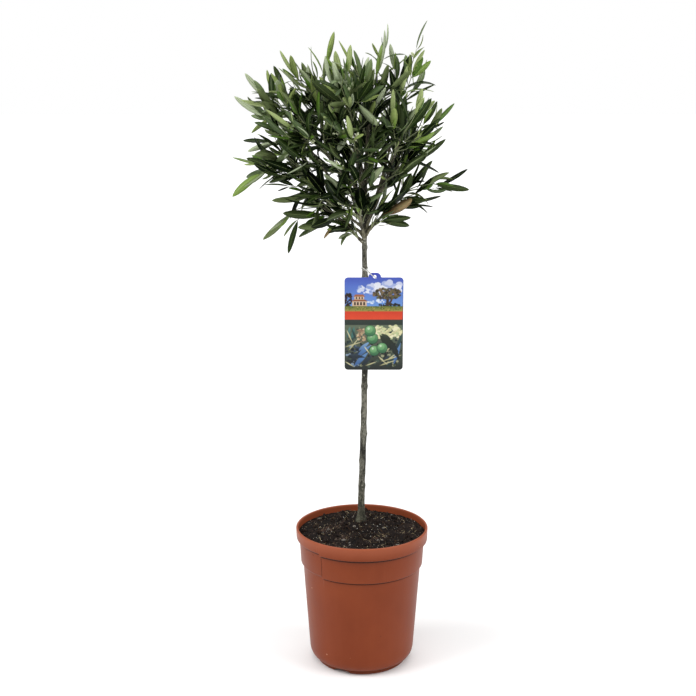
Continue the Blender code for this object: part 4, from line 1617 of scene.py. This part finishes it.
class Print:
    # a picture laid down in coats of ink, over points given in millimetres
    def __init__(self, points, ground):
        self.u, self.v = np.array(points).T
        self.ink = np.tile(np.array(shade(*ground)), (len(points), 1))
        self.draw = random.Random(labelShape["seed"])

    def coat(self, inside, upper, lower=None):
        # inside is a distance in millimetres, positive within the shape
        cover = np.clip(inside / labelShape["soften"] + 0.5, 0.0, 1.0)[:, None]
        here = cover[:, 0] > 0
        if not here.any():
            return
        v = self.v[here]
        t = ((v - v.min()) / max(0.01, v.max() - v.min()))[:, None]
        tone = np.array(shade(*upper)) * t + np.array(shade(*(lower or upper))) * (1 - t)
        self.ink[here] = self.ink[here] * (1 - cover[here]) + tone * cover[here]

    def box(self, left, bottom, right, top, upper, lower=None):
        self.coat(np.minimum(np.minimum(self.u - left, right - self.u),
                             np.minimum(self.v - bottom, top - self.v)), upper, lower)

    def roof(self, left, bottom, right, top, upper, lower=None):
        rise = (self.v - bottom) / (top - bottom)
        slope = (right - left) * 0.18 * rise
        self.coat(np.minimum(np.minimum(self.u - left - slope, right - slope - self.u),
                             np.minimum(self.v - bottom, top - self.v)), upper, lower)

    def disc(self, centre, radius, upper, lower=None, squash=1.0):
        away = np.hypot(self.u - centre[0], (self.v - centre[1]) / squash)
        self.coat(radius - away, upper, lower)

    def leaf(self, start, end, wide, upper, lower=None):
        span = np.array(end, float) - np.array(start, float)
        length = math.hypot(*span)
        x, y = span / length
        along = ((self.u - start[0]) * x + (self.v - start[1]) * y) / length
        aside = np.abs((self.v - start[1]) * x - (self.u - start[0]) * y)
        half = wide / 2 * np.sin(math.pi * np.clip(along, 0.0, 1.0) ** 0.85)
        self.coat(np.where((along > 0) & (along < 1), half - aside, -9.0), upper, lower)

    def dapple(self, count, centre, spread, size, inks):
        # many small round touches of ink, within an oval
        for _ in range(count):
            turn, far = self.draw.uniform(0, 6.283), math.sqrt(self.draw.random())
            spot = (centre[0] + spread[0] * far * math.cos(turn), centre[1] + spread[1] * far * math.sin(turn))
            self.disc(spot, self.draw.uniform(*size), self.draw.choice(inks), squash=self.draw.uniform(0.6, 1.0))


def printFront(points):
    # a made-up orchard scene over a close view of fruit
    page = Print(points, (70, 84, 70))
    page.box(0, 84, 83, 140, (66, 78, 186), (112, 158, 220))
    page.dapple(60, (56.0, 118.0), (25.0, 9.0), (2.2, 5.0), ((206, 212, 238), (232, 235, 246), (168, 182, 226)))
    page.dapple(24, (28.0, 116.0), (13.0, 5.0), (1.4, 3.2), ((206, 214, 238), (226, 230, 244), (140, 162, 220)))
    page.dapple(16, (44.0, 99.0), (12.0, 4.0), (1.0, 2.2), ((176, 200, 232), (224, 232, 244)))
    page.dapple(60, (5.0, 100.0), (5.2, 11.0), (1.0, 2.2), ((38, 26, 22), (58, 38, 26), (26, 22, 22)))
    page.box(11.0, 91.0, 31.5, 99.5, (222, 196, 168), (198, 166, 134))
    page.roof(9.0, 99.0, 33.2, 101.6, (146, 88, 58))
    page.box(14.0, 101.4, 27.5, 106.0, (226, 202, 176), (204, 174, 144))
    page.roof(12.2, 105.4, 29.4, 108.8, (160, 100, 66))
    for u in (16.0, 20.0, 24.0):
        page.box(u, 102.2, u + 2.0, 105.0, (58, 38, 32))
    for u in (13.5, 17.5, 22.0, 26.5):
        page.box(u, 93.2, u + 2.6, 98.0, (48, 32, 28))
    page.dapple(40, (64.0, 93.8), (16.0, 2.4), (0.8, 1.9), ((34, 34, 26), (52, 50, 34), (24, 26, 22)))
    page.leaf((59.5, 90.0), (62.0, 108.0), 4.0, (60, 44, 32))
    page.leaf((60.5, 91.0), (70.0, 107.0), 2.8, (66, 48, 34))
    page.dapple(200, (60.0, 109.5), (20.0, 8.0), (0.9, 2.4),
                ((86, 76, 52), (108, 90, 64), (66, 60, 40), (126, 104, 78), (92, 92, 60), (52, 46, 34)))
    page.box(0, 84.6, 83, 92.2, (92, 108, 48), (156, 146, 72))
    page.dapple(120, (41.0, 88.4), (41.0, 3.2), (0.4, 1.1),
                ((84, 104, 42), (140, 136, 62), (172, 156, 84), (66, 88, 36)))
    page.box(0, 72.6, 83, 84.8, (206, 60, 34), (222, 74, 42))
    page.box(0, 65.0, 83, 72.8, (46, 58, 50), (38, 50, 44))
    page.box(0, 0, 83, 65.0, (96, 108, 88), (26, 32, 32))
    page.dapple(150, (42.0, 34.0), (42.0, 32.0), (0.8, 2.6),
                ((62, 78, 66), (34, 44, 46), (106, 116, 92), (20, 26, 30), (128, 132, 104)))
    page.dapple(110, (60.0, 55.0), (22.0, 10.0), (1.0, 3.0),
                ((222, 216, 168), (204, 206, 156), (232, 226, 190), (186, 198, 148)))
    page.dapple(46, (24.0, 50.0), (7.0, 10.0), (0.8, 2.2), ((176, 150, 116), (140, 114, 90), (206, 186, 150)))
    page.dapple(80, (14.0, 20.0), (12.0, 16.0), (0.8, 2.6),
                ((26, 34, 44), (48, 66, 88), (20, 26, 32), (120, 140, 160)))
    page.dapple(80, (66.0, 18.0), (14.0, 14.0), (0.8, 2.6),
                ((32, 42, 34), (62, 74, 54), (24, 32, 30), (150, 152, 120)))
    inks = (((74, 126, 116), (44, 86, 82)), ((54, 82, 78), (28, 46, 48)), ((92, 144, 136), (48, 78, 80)),
            ((98, 140, 188), (54, 88, 140)), ((126, 164, 200), (76, 110, 160)), ((46, 60, 72), (22, 32, 42)))
    for start, end, wide, ink in (
            ((4, 46), (8, 63), 4.0, 2), ((10, 40), (14, 64), 4.4, 0), ((2, 36), (19, 52), 3.2, 1),
            ((16, 44), (10, 62), 3.0, 1), ((8, 10), (24, 30), 6.0, 5), ((14, 6), (34, 26), 6.4, 3),
            ((20, 28), (36, 41), 5.0, 4), ((18, 20), (38, 36), 5.6, 3), ((6, 22), (30, 18), 5.0, 5),
            ((24, 6), (40, 22), 5.0, 5), ((60, 4), (76, 30), 5.0, 1), ((70, 8), (80, 44), 5.6, 3),
            ((74, 30), (82, 54), 4.4, 1), ((52, 8), (64, 22), 4.2, 5)):
        page.leaf(start, end, wide, *inks[ink])
    for start, end in (((0, 33), (26, 41)), ((46, 62), (56, 50)), ((58, 52), (70, 64)), ((52, 12), (82, 22)),
                       ((50, 6), (72, 14)), ((1, 12), (14, 4)), ((48, 20), (60, 8)), ((3, 58), (12, 38)),
                       ((6, 28), (20, 46)), ((28, 34), (37, 22)), ((56, 26), (68, 34)), ((62, 48), (80, 60)),
                       ((30, 6), (46, 12)), ((60, 14), (74, 24))):
        page.leaf(start, end, 1.5, (214, 208, 164), (172, 168, 122))
    page.leaf((50, 50), (77, 26), 12.0, (40, 50, 36), (18, 26, 24))
    page.leaf((52, 52), (66, 45), 5.0, (60, 72, 54), (32, 42, 36))
    page.leaf((66, 40), (78, 14), 7.0, (34, 44, 38), (18, 24, 26))
    for (u, v), radius in (((42.3, 27.8), 7.0), ((53.4, 31.7), 7.2), ((39.7, 45.7), 7.6), ((36.3, 56.6), 7.7)):
        page.disc((u, v), radius + 0.6, (26, 54, 38), (18, 38, 32))
        page.disc((u, v), radius, (104, 158, 104), (48, 100, 68))
        page.disc((u - 1.2, v + 1.6), radius * 0.62, (132, 182, 126), (92, 148, 96))
        page.disc((u - 2.2, v + 3.2), radius * 0.22, (186, 212, 178))
    return page.ink


def printBack(points):
    page = Print(points, (224, 224, 218))
    page.box(4, 108, 79, 126, (92, 116, 84), (104, 128, 92))
    for row in range(5):
        level = 92.0 - 15.0 * row
        page.box(8, level, 75, level + 0.9, (150, 160, 146))
        page.disc((14.0, level - 7.0), 3.4, (128, 148, 116), (112, 134, 102))
        page.box(21, level - 8.0, 66 - 4 * (row % 3), level - 6.2, (206, 208, 198))
    return page.ink


def pageTriangles(outline, hole, step):
    # the card's face as fine triangles, with the lug's hole left open
    w, h = labelShape["width"], labelShape["height"]
    u0, v0, radius = labelShape["hole"]
    ring = outline + hole
    count = len(outline)
    edges = [(i, (i + 1) % count) for i in range(count)]
    edges += [(count + i, count + (i + 1) % len(hole)) for i in range(len(hole))]
    margin = 0.45 * step
    corner = labelShape["corner"]
    inner = []
    for row in range(1, int((h + labelShape["lugHeight"]) / step)):
        for column in range(1, int(w / step)):
            u, v = column * step + 0.25 * step * (row % 2), row * step
            # how far inside the rounded card, or inside the lug
            du, dv = max(corner - u, u - w + corner, 0.0), max(corner - v, v - h + corner, 0.0)
            inCard = corner - math.hypot(du, dv) > margin and margin < u < w - margin and margin < v < h - margin
            left, right, rise = labelShape["lug"]
            top = h + labelShape["lugHeight"]
            du, dv = max(left + rise - u, u - right + rise, 0.0), max(v - top + rise, 0.0)
            inLug = v > h - 2 and left < u < right and rise - math.hypot(du, dv) > margin
            if (inCard or inLug) and math.hypot(u - u0, v - v0) > radius + margin:
                inner.append((u, v))
    verts, _, faces, origins, _, _ = delaunay_2d_cdt([Vector(p) for p in ring + inner], edges, [], 1, 1e-5)
    place = {origin[0]: i for i, origin in enumerate(origins) if origin}

    def outsideHole(face):
        # a touch less than the radius, so slivers along the hole's edge are kept out
        u, v = (sum(verts[i][axis] for i in face) / 3 for axis in (0, 1))
        return math.hypot(u - u0, v - v0) > radius * labelShape["holeTrim"]
    faces = [face for face in faces if outsideHole(face)]
    return [(p.x, p.y) for p in verts], faces, [place[i] for i in range(len(ring))]


def inkedFinish():
    material = newFinish("printedCard", (0.5, 0.5, 0.5), 0.36, Specular_IOR_Level=0.3)
    tree, shader = shaderOf(material)
    ink = addNode(tree, "ShaderNodeAttribute", attribute_name="ink").outputs["Color"]
    tone = addMottle(tree, objectVector(tree), 0.012, 0.0007, 0.8, 1.0)
    dark = mixShade(tree, 1.0, ink, (0.80, 0.80, 0.80), "MULTIPLY")
    tree.links.new(mixShade(tree, tone.outputs["Amount"], dark, ink), shader.inputs["Base Color"])
    return material


def stockFinish(name):
    return mottledFinish(name, (226, 226, 222), 0.45, 0.3, (0.03, 0.0006, 0.6, 1.0),
                         [(0.2, (208, 208, 202)), (0.8, (230, 230, 226))])


def buildCard(low, high):
    outline = cardOutline()
    u0, v0, radius = labelShape["hole"]
    hole = arcPoints((u0, v0), radius, 360, 15, 24)
    shape = bmesh.new()
    inkLayer = shape.verts.layers.float_color.new("ink")
    rims = []
    for y, printer, step, front in ((low.y, printFront, labelShape["printStep"], True),
                                    (high.y, printBack, labelShape["backStep"], False)):
        points, faces, rim = pageTriangles(outline, hole, step)
        tones = printer(points)
        made = []
        for (u, v), tone in zip(points, tones):
            vert = shape.verts.new((low.x + u * mm, y, low.z + v * mm))
            vert[inkLayer] = (*tone, 1.0)
            made.append(vert)
        for face in faces:
            shape.faces.new([made[i] for i in (face if front else reversed(face))])
        rims.append([made[i] for i in rim])
    count = len(outline)
    loops = [range(count), range(count, len(rims[0]))]
    for loop in loops:
        for i in loop:
            k = loop[0] + (i + 1 - loop[0]) % len(loop)
            wall = shape.faces.new((rims[0][k], rims[0][i], rims[1][i], rims[1][k]))
            wall.material_index = 1
    return addPiece("labelCard", meshFrom(shape, "labelCard"), [inkedFinish(), stockFinish("cardStock")])


def buildElastic():
    groups = ringsOf(weldedPoints("label_string"), lambda a, b: (a - b).length < 0.0014)
    loop = middleLine(groups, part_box("label_string")[0])
    radius = labelShape["elasticRadius"]
    loop = [(point, radius) for point, _ in loop]
    # closed: the first points follow the last again, so the ends meet
    line = curved([loop[-1], *loop, loop[0], loop[1]], 0.0006)
    start = next(i for i, (p, _) in enumerate(line) if (p - loop[0][0]).length < 1e-6)
    end = next(i for i, (p, _) in enumerate(line) if i > start + 3 and (p - loop[0][0]).length < 1e-6)
    line = [p for p, _ in line[start:end]]
    shape = bmesh.new()
    sides, rings = 10, []
    for i, point in enumerate(line):
        heading = (line[(i + 1) % len(line)] - line[i - 1]).normalized()
        across = heading.cross(up if abs(heading.z) < 0.9 else Vector((0, 1, 0))).normalized()
        other = across.cross(heading)
        thick = radius * (1 + 0.10 * math.sin(i * 2.1))  # the elastic's braid
        rings.append([shape.verts.new(point + (across * math.cos(a) + other * math.sin(a)) * thick)
                      for a in (2 * math.pi * k / sides for k in range(sides))])
    for a, b in zip(rings, rings[1:] + rings[:1]):
        turn = min(range(sides), key=lambda k: (b[k].co - a[0].co).length)
        b = b[turn:] + b[:turn]
        for k in range(sides):
            shape.faces.new((a[k], a[(k + 1) % sides], b[(k + 1) % sides], b[k]))
    mesh = meshFrom(shape, "labelElastic")
    smooth(mesh)
    return addPiece("labelElastic", mesh, [stockFinish("elasticCord")])


def buildLabel():
    low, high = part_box("label_card")
    card = buildCard(low, high)
    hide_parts("label_card")
    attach(card, "root")
    elastic = buildElastic()
    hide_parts("label_string")
    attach(elastic, "root")


buildLabel()
print("label hung")
